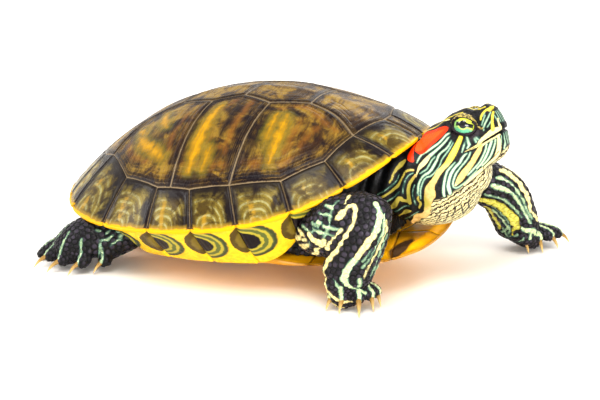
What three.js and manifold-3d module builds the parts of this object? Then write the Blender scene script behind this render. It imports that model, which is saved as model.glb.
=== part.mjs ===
// A red-eared slider turtle at life size, standing with its head raised.
// Millimetres. +X points to the head, +Y to the animal's left, +Z up, and the floor is Z = 0.
// The shell has a frame of its own, in which the rim of the carapace lies level at Z = 0.
import * as THREE from 'three';
import { mergeVertices } from 'three/addons/utils/BufferGeometryUtils.js';
import Module from 'manifold-3d';

const wasm = await Module();
wasm.setup();

// ---------------------------------------------------------------- driving dimensions
const SHELL_LENGTH = 150;                 // straight carapace length
const HALF_LENGTH = SHELL_LENGTH / 2;
const HALF_WIDTH = 61.5;                  // half the carapace width at mid length
const REAR_FLARE = 0.06;                  // the rear half is this much wider, the front narrower
const RIM_POWER = 2.04;                   // superellipse exponent of the rim in plan
const DOME_HEIGHT = 37.4;                 // carapace above its rim
const FRONT_HUMP = 0.119;                 // the dome's peak lies ahead of mid length
const DOME_POWER = 2.2;
const DOME_FULLNESS = 0.926;
const FRONT_LIFT = 17.7;                  // the rim rises over the neck
const REAR_LIFT = 4.3;                    // and a little over the tail
const PITCH = THREE.MathUtils.degToRad(7.92);   // front of the shell raised
const ROLL = THREE.MathUtils.degToRad(3);       // right side of the shell lowered
const RIM_HEIGHT = 28.5;                  // rim centre above the floor
const SCUTE_THICKNESS = 2.6;
const PLASTRON_THICKNESS = 3;
const PLASTRON_DROP = 19;                 // plastron below the rim at mid length
const PLASTRON_SLOPE = 0.075;             // and deeper towards the front
const LOBE_RISE = 0.8;                    // its free edges turn up a little
const THROAT_RISE = 2.8;                  // and its front end more, ahead of this X
const THROAT_START = 58;
const BRIDGE_RISE = 3;                    // and its sides more, where they join the marginals
const SEAM_CLEARANCE = 0.3;               // marginals stay this far from the seam's own line
const BRIDGE_INSET = 12;                  // marginals run this far in, under the rim, at the bridge
const GAP = 0.3;                          // between neighbouring pieces
const HEAD_TILT = THREE.MathUtils.degToRad(34);
const HEAD_BASE = [74, 0, 48];
const EYE_RADIUS = 4.1;
const EYE_CENTRE = [22.4, 5.0, 3.5];      // in the head's frame, mirrored for the right eye
const STANCE_CENTRE = [18.21, 0.99];      // middle of the whole animal in plan, from the rim centre

const SKIN = { color: 0x2c3329, roughness: 0.7 };
const CARAPACE = { color: 0x6b5a2a, roughness: 0.35 };
const PLASTRON = { color: 0xe8a31c, roughness: 0.4 };
const EYE = { color: 0x5fae6a, roughness: 0.1 };

const turtle = new THREE.Group();
const shell = new THREE.Group();
const head = new THREE.Group();
turtle.position.set(-STANCE_CENTRE[0], -STANCE_CENTRE[1], 0);
shell.position.set(0, 0, RIM_HEIGHT);
shell.rotation.set(ROLL, -PITCH, 0, 'YXZ');
head.position.set(...HEAD_BASE);
head.rotation.set(0, -HEAD_TILT, 0);
turtle.add(shell, head);
for (const frame of [shell, head]) frame.updateMatrix();

// ---------------------------------------------------------------- solids and meshes
function closed(vertices, triangles) {
  const geometry = new THREE.BufferGeometry();
  geometry.setAttribute('position', new THREE.Float32BufferAttribute(vertices.flat(), 3));
  geometry.setIndex(triangles.flat());
  return geometry;
}

function solid(geometry) {
  const bare = geometry.clone();
  bare.deleteAttribute('normal');
  bare.deleteAttribute('uv');
  const merged = mergeVertices(bare, 1e-4);
  const vertProperties = new Float32Array(merged.attributes.position.array);
  const triVerts = new Uint32Array(merged.index.array);
  return new wasm.Manifold(new wasm.Mesh({ numProp: 3, vertProperties, triVerts }));
}

function geometryOf(body) {
  const mesh = body.getMesh();
  const geometry = new THREE.BufferGeometry();
  geometry.setAttribute('position', new THREE.Float32BufferAttribute(mesh.vertProperties, 3));
  geometry.setIndex(Array.from(mesh.triVerts));
  return geometry;
}

// The same body grown outwards along its vertex normals, in which each face counts by the angle of
// its corner. A square edge moves less than the amount, so that is a little more than the gap.
function grown(geometry, amount = GAP * 1.4) {
  const bare = geometry.clone();
  bare.deleteAttribute('normal');
  bare.deleteAttribute('uv');
  const fat = mergeVertices(bare, 1e-4);
  const { position } = fat.attributes;
  const corners = Array.from({ length: position.count }, (_, i) => (
    new THREE.Vector3().fromBufferAttribute(position, i)));
  const outward = corners.map(() => new THREE.Vector3());
  const face = new THREE.Triangle();
  const normal = new THREE.Vector3();
  for (let i = 0; i < fat.index.count; i += 3) {
    const ring = [0, 1, 2].map((k) => fat.index.getX(i + k));
    face.set(...ring.map((index) => corners[index]));
    face.getNormal(normal);
    ring.forEach((index, k) => {
      const ahead = corners[ring[(k + 1) % 3]].clone().sub(corners[index]);
      const behind = corners[ring[(k + 2) % 3]].clone().sub(corners[index]);
      outward[index].addScaledVector(normal, ahead.angleTo(behind));
    });
  }
  corners.forEach((corner, i) => {
    corner.addScaledVector(outward[i].normalize(), amount);
    position.setXYZ(i, ...corner.toArray());
  });
  return fat;
}

// Body minus every tool; only the largest piece that is left is kept.
function cut(geometry, ...tools) {
  let body = solid(geometry);
  for (const tool of tools) body = body.subtract(solid(tool));
  const pieces = body.decompose().sort((a, b) => b.volume() - a.volume());
  return geometryOf(pieces[0]);
}

function join(geometry, ...more) {
  let body = solid(geometry);
  for (const piece of more) body = body.add(solid(piece));
  return geometryOf(body);
}

function inFrame(geometry, frame) {
  return geometry.clone().applyMatrix4(frame.matrix);
}

function add(frame, name, geometry, material) {
  const mesh = new THREE.Mesh(geometry, new THREE.MeshStandardMaterial(material));
  mesh.name = name;
  frame.add(mesh);
  return geometry;
}

// ---------------------------------------------------------------- shapes of the body
// A soft body lofted through stations { at, wide, tall, low } with rounded ends. `face` is the
// way the broad side looks. An upright loft keeps its sections square to X, and a blunt one has
// no ring in the rounding of its ends.
function loft(stations, options = {}) {
  const { face = [0, 0, 1], sides = 12, steps = 2, bulge = 0.7, upright = false, blunt = false } = options;
  const path = new THREE.CatmullRomCurve3(stations.map((s) => new THREE.Vector3(...s.at)));
  const sizes = new THREE.CatmullRomCurve3(
    stations.map((s) => new THREE.Vector3(s.wide, s.tall, s.low ?? s.tall)), false, 'catmullrom');
  const facing = new THREE.Vector3(...face);
  const count = (stations.length - 1) * steps;
  const rings = [];
  const ringAt = (u, push, shrink) => {
    const ahead = upright ? new THREE.Vector3(1, 0, 0) : path.getTangent(u);
    const side = facing.clone().cross(ahead).normalize();
    const up = ahead.clone().cross(side);
    const size = sizes.getPoint(u);
    const reach = push * Math.min(size.x, size.y) * bulge;
    const centre = path.getPoint(u).addScaledVector(ahead, reach);
    const ring = [];
    for (let i = 0; i < sides; i++) {
      const angle = 2 * Math.PI * i / sides;
      const rise = Math.sin(angle);
      const point = centre.clone()
        .addScaledVector(side, Math.cos(angle) * size.x * shrink)
        .addScaledVector(up, rise * (rise > 0 ? size.y : size.z) * shrink);
      ring.push(point.toArray());
    }
    return { ring, centre: centre.toArray() };
  };
  const CAP_TURN = Math.PI / 4;
  const cap = (end, turn) => ringAt(end, Math.sin(turn), Math.cos(turn)).ring;
  if (!blunt) rings.push(cap(0, -CAP_TURN));
  for (let i = 0; i <= count; i++) rings.push(ringAt(i / count, 0, 1).ring);
  if (!blunt) rings.push(cap(1, CAP_TURN));
  return ringed(rings, ringAt(0, -1, 1).centre, ringAt(1, 1, 1).centre);
}

// A body skinned over rings of equal count, closed at each end by a fan to a point. The rings
// turn anticlockwise seen from the far end.
function ringed(rings, first, last) {
  const sides = rings[0].length;
  const vertices = [first, ...rings.flat(), last];
  const end = vertices.length - 1;
  const at = (ring, i) => 1 + ring * sides + (i % sides);
  const triangles = [];
  for (let i = 0; i < sides; i++) {
    triangles.push([0, at(0, i + 1), at(0, i)]);
    for (let r = 0; r < rings.length - 1; r++) {
      triangles.push([at(r, i), at(r, i + 1), at(r + 1, i + 1)], [at(r, i), at(r + 1, i + 1), at(r + 1, i)]);
    }
    triangles.push([end, at(rings.length - 1, i), at(rings.length - 1, i + 1)]);
  }
  return closed(vertices, triangles);
}

// A plate over a plan outline (anticlockwise), between two height functions. Its top is in rings
// round a centre point. The outline is drawn in by half a gap so that neighbours stay apart.
function plate(outline, centre, top, bottom, shrinks = [1, 0.6]) {
  const edge = drawnIn(outline, GAP / 2);
  const ring = (shrink, height) => edge.map(([x, y]) => {
    const px = centre[0] + (x - centre[0]) * shrink;
    const py = centre[1] + (y - centre[1]) * shrink;
    return [px, py, height(px, py)];
  });
  const rings = [ring(1, bottom), ...shrinks.map((shrink) => ring(shrink, top))];
  return ringed(rings, [...centre, bottom(...centre)], [...centre, top(...centre)]);
}

function drawnIn(outline, amount) {
  const count = outline.length;
  return outline.map((point, i) => {
    const before = outline[(i + count - 1) % count];
    const after = outline[(i + 1) % count];
    const a = inward(before, point);
    const b = inward(point, after);
    const spread = 1 + a[0] * b[0] + a[1] * b[1];
    return [point[0] + amount * (a[0] + b[0]) / spread, point[1] + amount * (a[1] + b[1]) / spread];
  });
}

function inward(from, to) {
  const length = Math.hypot(to[0] - from[0], to[1] - from[1]);
  return [-(to[1] - from[1]) / length, (to[0] - from[0]) / length];
}

// A line through given plan points, subdivided smoothly.
function smooth(points, steps = 3) {
  const curve = new THREE.CatmullRomCurve3(points.map(([x, y]) => new THREE.Vector3(x, y, 0)));
  return curve.getPoints((points.length - 1) * steps).map((p) => [p.x, p.y]);
}

function along(from, to, share) {
  return from.map((value, axis) => value + (to[axis] - value) * share);
}

function straight(from, to, steps = 2) {
  return Array.from({ length: steps + 1 }, (_, i) => along(from, to, i / steps));
}

function through(points) {
  return [...points.slice(0, -1).flatMap((point, i) => straight(point, points[i + 1]).slice(0, -1)),
    points.at(-1)];
}

// Runs joined end to end into one closed outline, without doubled corners.
function outlineOf(...runs) {
  return runs.flatMap((run) => run.slice(0, -1));
}

const mirrored = (points) => points.map(([x, y]) => [x, -y]).toReversed();

// ---------------------------------------------------------------- shell surfaces
const ramp = (from, to, x) => THREE.MathUtils.smoothstep(x, from, to);
const halfWidthAt = (x) => HALF_WIDTH * (1 - REAR_FLARE * x / HALF_LENGTH);

function rimPoint(angle) {
  const power = 2 / RIM_POWER;
  const cosine = Math.cos(angle);
  const x = HALF_LENGTH * Math.sign(cosine) * Math.abs(cosine) ** power;
  return [x, halfWidthAt(x) * Math.abs(Math.sin(angle)) ** power];
}

function rimAngle(x) {
  return Math.acos(Math.sign(x) * Math.abs(x / HALF_LENGTH) ** (RIM_POWER / 2));
}

function domeHeight(x, y) {
  const along = x / HALF_LENGTH;
  const across = y / halfWidthAt(x);
  const reach = (Math.abs(along) ** RIM_POWER + Math.abs(across) ** RIM_POWER) ** (1 / RIM_POWER);
  const lift = (along > 0 ? FRONT_LIFT : REAR_LIFT) * Math.abs(along) ** 3;
  const fall = (1 - Math.min(reach, 1) ** DOME_POWER) ** DOME_FULLNESS;
  return lift + DOME_HEIGHT * (1 + FRONT_HUMP * along) * fall;
}

// How far a place along the shell belongs to the bridge between the two pairs of legs.
const bridgeShare = (x) => ramp(-36, -20, x) * (1 - ramp(26, 42, x));
const bridgeEdge = (x) => [x, rimPoint(rimAngle(x))[1] - BRIDGE_INSET - GAP];

const PLASTRON_EDGE = [[78.5, 0], [78.4, 9], [77.4, 16.5], [71.5, 25], [60, 31.5], [48, 34.5], [40, 37.5],
  [33, 42], bridgeEdge(25), bridgeEdge(10), bridgeEdge(-5), bridgeEdge(-17), [-26, 42],
  [-33, 35.5], [-45, 34], [-56, 29.5], [-64, 22], [-69, 12], [-66.5, 0]];

function plastronHalfWidth(x) {
  for (let i = 0; i < PLASTRON_EDGE.length - 2; i++) {
    const [x0, y0] = PLASTRON_EDGE[i];
    const [x1, y1] = PLASTRON_EDGE[i + 1];
    if (x <= x0 && x >= x1) return y0 + (y1 - y0) * (x0 - x) / (x0 - x1);
  }
  return x > 0 ? 10 : 12;
}

function plastronHeight(x, y) {
  const side = Math.min(Math.abs(y) / plastronHalfWidth(x), 1.2);
  const rise = LOBE_RISE + (BRIDGE_RISE - LOBE_RISE) * bridgeShare(x);
  const ahead = Math.max(0, (x - THROAT_START) / (PLASTRON_EDGE[0][0] - THROAT_START));
  return -PLASTRON_DROP - PLASTRON_SLOPE * x + rise * side ** 4 + THROAT_RISE * ahead ** 1.3;
}

// ---------------------------------------------------------------- carapace
// Seams on the left half, in plan. Each marginal seam runs from the rim, at an X, to a point
// where marginals meet the plates of the dome.
const MARGINAL_SEAMS = [
  { rim: 74.96, inner: [63, 3] },         // nuchal to first marginal
  { rim: 71.4, inner: [57.5, 18.7] },
  { rim: 60, inner: [51.9, 32] },
  { rim: 44.2, inner: [39, 42.8] },
  { rim: 26.2, inner: [21, 48.6] },
  { rim: 9.3, inner: [5.7, 51.8] },
  { rim: -9.2, inner: [-8.4, 51.5] },
  { rim: -31.5, inner: [-25.8, 46] },
  { rim: -56, inner: [-41.5, 31] },
  { rim: -64.5, inner: [-50.5, 24.5] },
  { rim: -70.5, inner: [-56.5, 17.5] },
  { rim: -74, inner: [-60.3, 9] },
  { rim: -74.999, inner: [-61.5, 0.2] },  // last marginal at the midline
];
const seam = MARGINAL_SEAMS.map((entry) => entry.inner);
const COSTAL_THREE_FOOT = along(seam[5], seam[6], 0.58);  // two costals and the sixth marginal meet
const VERTEBRAL = {                       // corners of the row of vertebral plates
  one: [37, 9.5], apexTwo: [22.5, 14.5], two: [9.5, 10], apexThree: [-3, 14],
  three: [-19.5, 9.5], apexFour: [-35, 13.5], four: [-46.5, 8],
};
const SEAM_ONE = [seam[1], [48, 12.4], VERTEBRAL.one];
const COSTAL_SEAMS = [                    // from the vertebral apex down to the marginals
  [VERTEBRAL.apexTwo, [21.3, 30], seam[4]],
  [VERTEBRAL.apexThree, [-3.8, 33], COSTAL_THREE_FOOT],
  [VERTEBRAL.apexFour, [-39, 22], seam[8]],
];

function leftCostals() {
  const [one, two, three] = COSTAL_SEAMS;
  const back = (points) => points.toReversed();
  return [
    { centre: [38, 27], outline: outlineOf(through(seam.slice(1, 5)), smooth(back(one)),
      straight(VERTEBRAL.apexTwo, VERTEBRAL.one), smooth(back(SEAM_ONE))) },
    { centre: [9, 30], outline: outlineOf(straight(seam[4], seam[5]), straight(seam[5], COSTAL_THREE_FOOT),
      smooth(back(two)), straight(VERTEBRAL.apexThree, VERTEBRAL.two),
      straight(VERTEBRAL.two, VERTEBRAL.apexTwo), smooth(one)) },
    { centre: [-18, 29], outline: outlineOf(straight(COSTAL_THREE_FOOT, seam[6]), through(seam.slice(6, 9)),
      smooth(back(three)), straight(VERTEBRAL.apexFour, VERTEBRAL.three),
      straight(VERTEBRAL.three, VERTEBRAL.apexThree), smooth(two)) },
    { centre: [-45.5, 18.5], outline: outlineOf(straight(seam[8], seam[9]), straight(seam[9], seam[10]),
      straight(seam[10], VERTEBRAL.four), straight(VERTEBRAL.four, VERTEBRAL.apexFour), smooth(three)) },
  ];
}

// A vertebral plate from its left edge, given front to back, and its mirror image.
function acrossMidline(edge) {
  return outlineOf(edge, straight(edge.at(-1), [edge.at(-1)[0], -edge.at(-1)[1]]), mirrored(edge),
    straight([edge[0][0], -edge[0][1]], edge[0]));
}

function vertebrals() {
  const { one, apexTwo, two, apexThree, three, apexFour, four } = VERTEBRAL;
  const edges = [
    [seam[0], ...smooth(SEAM_ONE)],
    outlineOf(straight(one, apexTwo), straight(apexTwo, two), [two, two]),
    outlineOf(straight(two, apexThree), straight(apexThree, three), [three, three]),
    outlineOf(straight(three, apexFour), straight(apexFour, four), [four, four]),
    [...straight(four, seam[10]), seam[11], [seam[12][0], 0.6]],
  ];
  return edges.map(acrossMidline);
}

function buildDome() {
  const top = domeHeight;
  const bottom = (x, y) => domeHeight(x, y) - SCUTE_THICKNESS;
  const made = [];
  vertebrals().forEach((outline, i) => {
    const middle = outline.reduce((sum, [x]) => sum + x, 0) / outline.length;
    made.push(add(shell, `carapace_vertebral_${i + 1}`, plate(outline, [middle, 0], top, bottom), CARAPACE));
  });
  leftCostals().forEach(({ centre, outline }, i) => {
    const flip = [centre[0], -centre[1]];
    made.push(add(shell, `carapace_costal_left_${i + 1}`, plate(outline, centre, top, bottom), CARAPACE));
    made.push(add(shell, `carapace_costal_right_${i + 1}`,
      plate(mirrored(outline), flip, top, bottom), CARAPACE));
  });
  const front = rimPoint(rimAngle(MARGINAL_SEAMS[0].rim));
  const edge = straight(front, seam[0]);
  made.push(add(shell, 'carapace_nuchal', plate(acrossMidline(edge), [68, 0], top, bottom), CARAPACE));
  return made;
}

// ---------------------------------------------------------------- marginals and bridge
// One cross-section, from the inner seam over the rim and back underneath.
function marginalSection(angle, inner, side) {
  const [rx, ry] = rimPoint(angle);
  const between = (k) => [inner[0] + (rx - inner[0]) * k, inner[1] + (ry - inner[1]) * k];
  const above = (k, drop = 0) => {
    const [x, y] = between(k);
    return [x, y, domeHeight(x, y) - drop];
  };
  const share = bridgeShare(rx);
  const blend = (free, tied) => free.map((value, i) => value + (tied[i] - value) * share);
  const foot = plastronHeight(rx, plastronHalfWidth(rx));
  const wall = ry - BRIDGE_INSET;
  const points = [above(0), above(0.4), above(0.75), above(1), above(1, 1.6),
    blend(above(0.65, SCUTE_THICKNESS + 0.4), [rx, ry - BRIDGE_INSET * 0.45, foot * 0.55]),
    blend(above(0.35, SCUTE_THICKNESS + 0.2), [rx, wall, foot]),
    blend(above(0.15, SCUTE_THICKNESS), [rx, wall, foot + PLASTRON_THICKNESS]),
    blend(above(0, SCUTE_THICKNESS), [rx, wall - 1.5, foot + PLASTRON_THICKNESS + 3])];
  return points.map(([x, y, z]) => [x, y * side, z]);
}

function marginalBand(first, last, side) {
  const STEPS = 2;
  const sections = [];
  for (let i = first; i <= last; i++) {
    const angle = rimAngle(MARGINAL_SEAMS[i].rim);
    for (let s = 0; s < (i < last ? STEPS : 1); s++) {
      const next = i < last ? i + 1 : i;
      const k = s / STEPS;
      const trim = i === first && s === 0 ? 0.02 : (i === last ? -0.02 : 0);
      const other = rimAngle(MARGINAL_SEAMS[trim < 0 ? i - 1 : next].rim);
      const ahead = seam[trim < 0 ? i - 1 : next];
      const mix = Math.abs(trim) || k;
      const inner = [seam[i][0] + (ahead[0] - seam[i][0]) * mix, seam[i][1] + (ahead[1] - seam[i][1]) * mix];
      const pull = inward(seam[Math.max(i - 1, 0)], seam[Math.min(i + 1, seam.length - 1)]);
      const clear = [inner[0] - pull[0] * SEAM_CLEARANCE, inner[1] - pull[1] * SEAM_CLEARANCE];
      sections.push(marginalSection(angle + (other - angle) * mix, clear, side));
    }
  }
  const middle = (ring) => [0, 1, 2].map((axis) => ring.reduce((sum, p) => sum + p[axis], 0) / ring.length);
  const rings = side > 0 ? sections : sections.toReversed();
  return ringed(rings, middle(rings[0]), middle(rings.at(-1)));
}

function buildMarginals() {
  const groups = { front: [0, 4], bridge: [4, 7], rear: [7, 12] };
  const made = [];
  for (const [sideName, side] of [['left', 1], ['right', -1]]) {
    for (const [name, [first, last]] of Object.entries(groups)) {
      made.push(add(shell, `carapace_marginals_${name}_${sideName}`,
        marginalBand(first, last, side), CARAPACE));
    }
  }
  return made;
}

// ---------------------------------------------------------------- plastron
const PLASTRON_SEAMS = [              // each seam from the midline to the edge, front to back
  { name: 'gular', middle: 62, edge: 70 },
  { name: 'humeral', middle: 47, edge: 42 },
  { name: 'pectoral', middle: 23, edge: 17 },
  { name: 'abdominal', middle: -13, edge: -24 },
  { name: 'femoral', middle: -38, edge: -50 },
  { name: 'anal', middle: -66.5, edge: -66.5 },
];

function edgeBetween(front, rear) {
  const corners = PLASTRON_EDGE.filter(([x]) => x < front - 0.5 && x > rear + 0.5);
  return [[front, plastronHalfWidth(front)], ...corners, [rear, plastronHalfWidth(rear)]];
}

function buildPlastron() {
  const bottom = plastronHeight;
  const top = (x, y) => plastronHeight(x, y) + PLASTRON_THICKNESS;
  const made = [];
  let front = { middle: PLASTRON_EDGE[0][0], edge: null };
  for (const rear of PLASTRON_SEAMS) {
    const last = rear.name === 'anal';
    const outer = front.edge === null
      ? [...PLASTRON_EDGE.filter(([x]) => x > rear.edge), [rear.edge, plastronHalfWidth(rear.edge)]]
      : last ? [[front.edge, plastronHalfWidth(front.edge)],
        ...PLASTRON_EDGE.filter(([x, y]) => x < front.edge && y > 0), [-66.5, 0]]
        : edgeBetween(front.edge, rear.edge);
    const start = front.edge === null ? [] : straight([front.middle, 0], outer[0]).slice(0, -1);
    const finish = last ? [] : straight(outer.at(-1), [rear.middle, 0]).slice(1, -1);
    const tail = last ? outer.slice(0, -1) : outer;
    const run = [...start, ...tail, ...finish, [rear.middle, 0]];
    const inner = straight([rear.middle, 0], [front.middle, 0], 2).slice(1, -1);
    const outline = [...run, ...inner];
    const centre = [0, 1].map((axis) => run.reduce((sum, p) => sum + p[axis], 0) / run.length);
    made.push(add(shell, `plastron_${rear.name}_left`, plate(outline, centre, top, bottom), PLASTRON));
    made.push(add(shell, `plastron_${rear.name}_right`,
      plate(mirrored(outline), [centre[0], -centre[1]], top, bottom), PLASTRON));
    front = rear;
  }
  return made;
}

// ---------------------------------------------------------------- head
// Stations of the skull and jaw in the head's frame: distance from the base, crown, underside
// and half width.
const HEAD_PROFILE = [
  [-2, 2.5, -8, 8], [2, 4.6, -11, 10.4], [7, 7.6, -12.6, 11.8], [13, 8, -13.6, 11.5],
  [18.5, 9.2, -13.9, 10], [24, 8.8, -13.4, 8.1], [28, 7.4, -12.2, 6.6], [31, 6.3, -9.6, 5],
  [32.6, 5.2, -3.6, 3.6]];
const MOUTH_LINE = -4.7;
const MOUTH_CORNER = 19;

function stationsOfHead() {
  return HEAD_PROFILE.map(([along, crown, under, wide]) => (
    { at: [along, 0, (crown + under) / 2], wide, tall: (crown - under) / 2 }));
}

function eyeball(side, grow = 0) {
  const ball = new THREE.SphereGeometry(EYE_RADIUS + grow, 12, 7);
  return ball.translate(EYE_CENTRE[0], EYE_CENTRE[1] * side, EYE_CENTRE[2]);
}

// The block of space that the lower jaw takes out of the head.
function jawSpace(grow) {
  const back = MOUTH_CORNER - grow;
  const profile = new THREE.Shape([
    new THREE.Vector2(back, MOUTH_LINE + grow), new THREE.Vector2(40, MOUTH_LINE + grow),
    new THREE.Vector2(40, -20), new THREE.Vector2(back - 7, -20)]);
  const block = new THREE.ExtrudeGeometry(profile, { depth: 40, bevelEnabled: false });
  return block.rotateX(Math.PI / 2).translate(0, 20, 0);
}

function buildHead() {
  const whole = loft(stationsOfHead(), { sides: 14, steps: 1, bulge: 0.35, upright: true });
  const sockets = [1, -1].map((side) => eyeball(side, GAP));
  const jaw = geometryOf(solid(whole).intersect(solid(jawSpace(0))));
  add(head, 'head', cut(whole, jawSpace(GAP), ...sockets), SKIN);
  add(head, 'jaw', jaw, SKIN);
  add(head, 'eye_left', eyeball(1), EYE);
  add(head, 'eye_right', eyeball(-1), EYE);
  return inFrame(grown(whole), head);
}

// ---------------------------------------------------------------- neck, limbs and tail
const at = (x, y, z, wide, tall, low) => ({ at: [x, y, z], wide, tall, low });

const NECK_BASE = [at(46, 0, 38, 15, 13), at(58, 0, 39, 17.5, 14.5), at(69, 0, 41, 17, 14, 16)];
const NECK_FRONT = [at(67, 0, 41, 16.5, 13.5, 17), at(75, 0, 41.5, 16, 14.5, 19),
  at(84, 0, 44, 14, 14.5, 17.5), at(91, 0, 47.5, 10.5, 11)];

const LIMBS = {
  fore_right: {
    upper: { face: [0, 0, 1], line: [at(38, -38, 26, 7, 8), at(48, -40.5, 27, 9, 10.2),
      at(59, -39, 31, 10, 10.5), at(67, -36, 35, 9, 8.5)] },
    lower: { face: [0.5, -0.866, 0], line: [at(69.5, -36.5, 38, 7.5, 6.5), at(68, -39, 30.5, 9, 7),
      at(65.5, -40.5, 21.5, 9.2, 6.3), at(62.5, -41, 13, 8.8, 5.6)] },
    foot: { face: [0.4, -0.6, 0.6], line: [at(62.3, -41, 12.5, 8.6, 5.4), at(62.6, -40, 7, 9, 5),
      at(64.5, -39, 3.2, 8.6, 4.4)] },
    toes: [[[66, -35, 7.6], [70.2, -32.6, 5.6], [73.1, -34, 0.6]],
      [[65.5, -37, 7.8], [69.8, -36.6, 5.8], [72.7, -39.2, 0.6]],
      [[64, -38.5, 7.8], [67.6, -41.2, 5.8], [71, -47.5, 0.6]],
      [[61.8, -39.5, 7.4], [62.4, -43, 5.2], [63.2, -47.6, 0.6]],
      [[60, -40, 7], [58.6, -43, 4.8], [57.6, -46.8, 0.6]]],
    toe: { wide: 2.9, tall: 2.7 },
  },
  fore_left: {
    upper: { face: [0, 0, 1], line: [at(58, 26, 34, 9, 9.5), at(69, 32.5, 34, 9.5, 10),
      at(80, 39, 30.5, 9, 9)] },
    lower: { face: [0, 1, 0.3], line: [at(82.5, 39.5, 29.5, 9, 8.3), at(89.5, 43, 24.5, 9.8, 7.6),
      at(92.5, 46, 17, 9.6, 6.6), at(94.5, 48.5, 9.5, 9, 5.6)] },
    foot: { face: [0.3, 0.4, 0.85], line: [at(93.5, 47.5, 9.5, 9, 5.6), at(97, 51, 6.2, 9.6, 5.2),
      at(100.5, 54.5, 3.3, 9.6, 4.6)] },
    toes: [[[94.5, 50.5, 6.6], [97.4, 47.4, 4.8], [100.6, 45.8, 0.6]],
      [[97, 53, 7.2], [102, 51.6, 5.6], [105.2, 49, 0.6]],
      [[98.5, 56.5, 7.2], [104.9, 56.8, 5.6], [109, 56.8, 0.6]],
      [[99, 59, 7.2], [106.4, 61.8, 5.4], [111, 65.6, 0.6]],
      [[97, 59.5, 6.8], [101.2, 65, 5], [103, 69.5, 0.6]]],
    toe: { wide: 2.9, tall: 2.7 },
  },
  hind_right: {
    upper: { face: [0, 0, 1], line: [at(-48, -20, 22, 9, 8.5), at(-38, -31, 22, 10, 9.5),
      at(-28, -39, 19, 9, 9)] },
    lower: { face: [0, 0, 1], line: [at(-26, -40, 18.5, 8, 8.5), at(-32, -43.5, 14, 8.5, 8.2),
      at(-38, -47, 10.5, 9, 8)] },
    foot: { face: [0, 0, 1], line: [at(-37, -46.5, 10.5, 9, 8), at(-43, -51, 8.8, 10.5, 7.4),
      at(-48, -55.5, 5.9, 11.5, 6.9), at(-51, -58.5, 3.3, 11.2, 5)] },
    toes: [[[-52, -49, 7], [-58, -53.6, 4.4], [-62.5, -59, 0.6]],
      [[-49, -52.5, 7.6], [-53.4, -59.6, 4.8], [-56.5, -65.6, 0.6]],
      [[-45.5, -53.5, 7.6], [-46.4, -61, 4.8], [-49.4, -67.5, 0.6]],
      [[-41, -52.5, 7.6], [-39, -59.4, 4.8], [-40.2, -66, 0.6]],
      [[-37, -50, 7.6], [-33, -53.4, 4.8], [-35, -58.4, 0.6]]],
    toe: { wide: 3.1, tall: 3 },
  },
  hind_left: {
    upper: { face: [0, 0, 1], line: [at(-48, 20, 24, 9, 8.5), at(-41, 31, 24, 10, 9.5),
      at(-34, 40, 21, 9, 9)] },
    lower: { face: [0, 0, 1], line: [at(-33, 41, 20, 8, 8.5), at(-39, 44.5, 15, 8.5, 8.2),
      at(-45, 47, 10.5, 9, 8)] },
    foot: { face: [0, 0, 1], line: [at(-44, 46.5, 10.5, 9, 8), at(-50, 50, 8.8, 10.5, 7.4),
      at(-56, 53.5, 5.6, 11.5, 6.6), at(-59, 55.5, 3.2, 11, 4.8)] },
    toes: [[[-58, 46.5, 6.6], [-64.6, 49.6, 4.2], [-69, 53, 0.6]],
      [[-57, 49.5, 7.2], [-64.6, 54.4, 4.8], [-69, 59.5, 0.6]],
      [[-54.5, 51.5, 7.4], [-60.6, 59, 4.8], [-64, 65.5, 0.6]],
      [[-51, 52, 7.4], [-54, 60, 4.8], [-55, 67, 0.6]],
      [[-47.5, 51, 7.2], [-47.4, 57.4, 4.8], [-47, 63, 0.6]]],
    toe: { wide: 3.1, tall: 3 },
  },
};

const FLOOR = new THREE.BoxGeometry(400, 400, 60).translate(0, 0, -30);

// A toe from its root over its knuckle, and the claw that bends down from there to the floor. The
// outer toe of a hind foot has no claw and reaches further itself.
function toeWithClaw([root, knuckle, tip], { wide, tall }, clawed) {
  const end = clawed ? { at: along(knuckle, tip, 0.25), wide: wide * 0.75, tall: tall * 0.8 }
    : { at: along(knuckle, tip, 0.7), wide: wide * 0.7, tall: tall * 0.55 };
  const toe = loft([{ at: along(root, knuckle, -0.2), wide, tall }, { at: along(root, knuckle, 0.55), wide, tall },
    { at: knuckle, wide, tall }, end], { sides: 6, steps: 1, blunt: true });
  if (!clawed) return [toe];
  const middle = along(knuckle, tip, 0.6);
  const claw = loft([
    { at: along(knuckle, tip, 0.1), wide: 1.5, tall: 1.5 },
    { at: [middle[0], middle[1], middle[2] + 0.7], wide: 1.1, tall: 1.15 },
    { at: tip, wide: 0.4, tall: 0.45 }], { sides: 4, steps: 1, blunt: true });
  return [toe, claw];
}

function buildLimb(name, limb, shellParts, extra) {
  const shape = ({ line, face }) => loft(line, { face, steps: 1, sides: 10 });
  const [kind, side] = name.split('_');
  const labels = kind === 'fore' ? ['upper_arm', 'forearm', 'forefoot'] : ['thigh', 'shank', 'hindfoot'];
  const upper = shape(limb.upper);
  const lower = shape(limb.lower);
  const palm = shape(limb.foot);
  const digits = limb.toes.flatMap((toe, i) => toeWithClaw(toe, limb.toe, kind === 'fore' || i > 0));
  const foot = cut(join(palm, ...digits), FLOOR);
  const solids = [
    cut(upper, grown(lower), grown(palm), ...shellParts, ...extra),
    cut(lower, grown(palm), ...shellParts),
    foot,
  ];
  solids.forEach((geometry, i) => add(turtle, `${labels[i]}_${side}`, geometry, SKIN));
  return [upper, lower].map((geometry) => grown(geometry));
}

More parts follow.
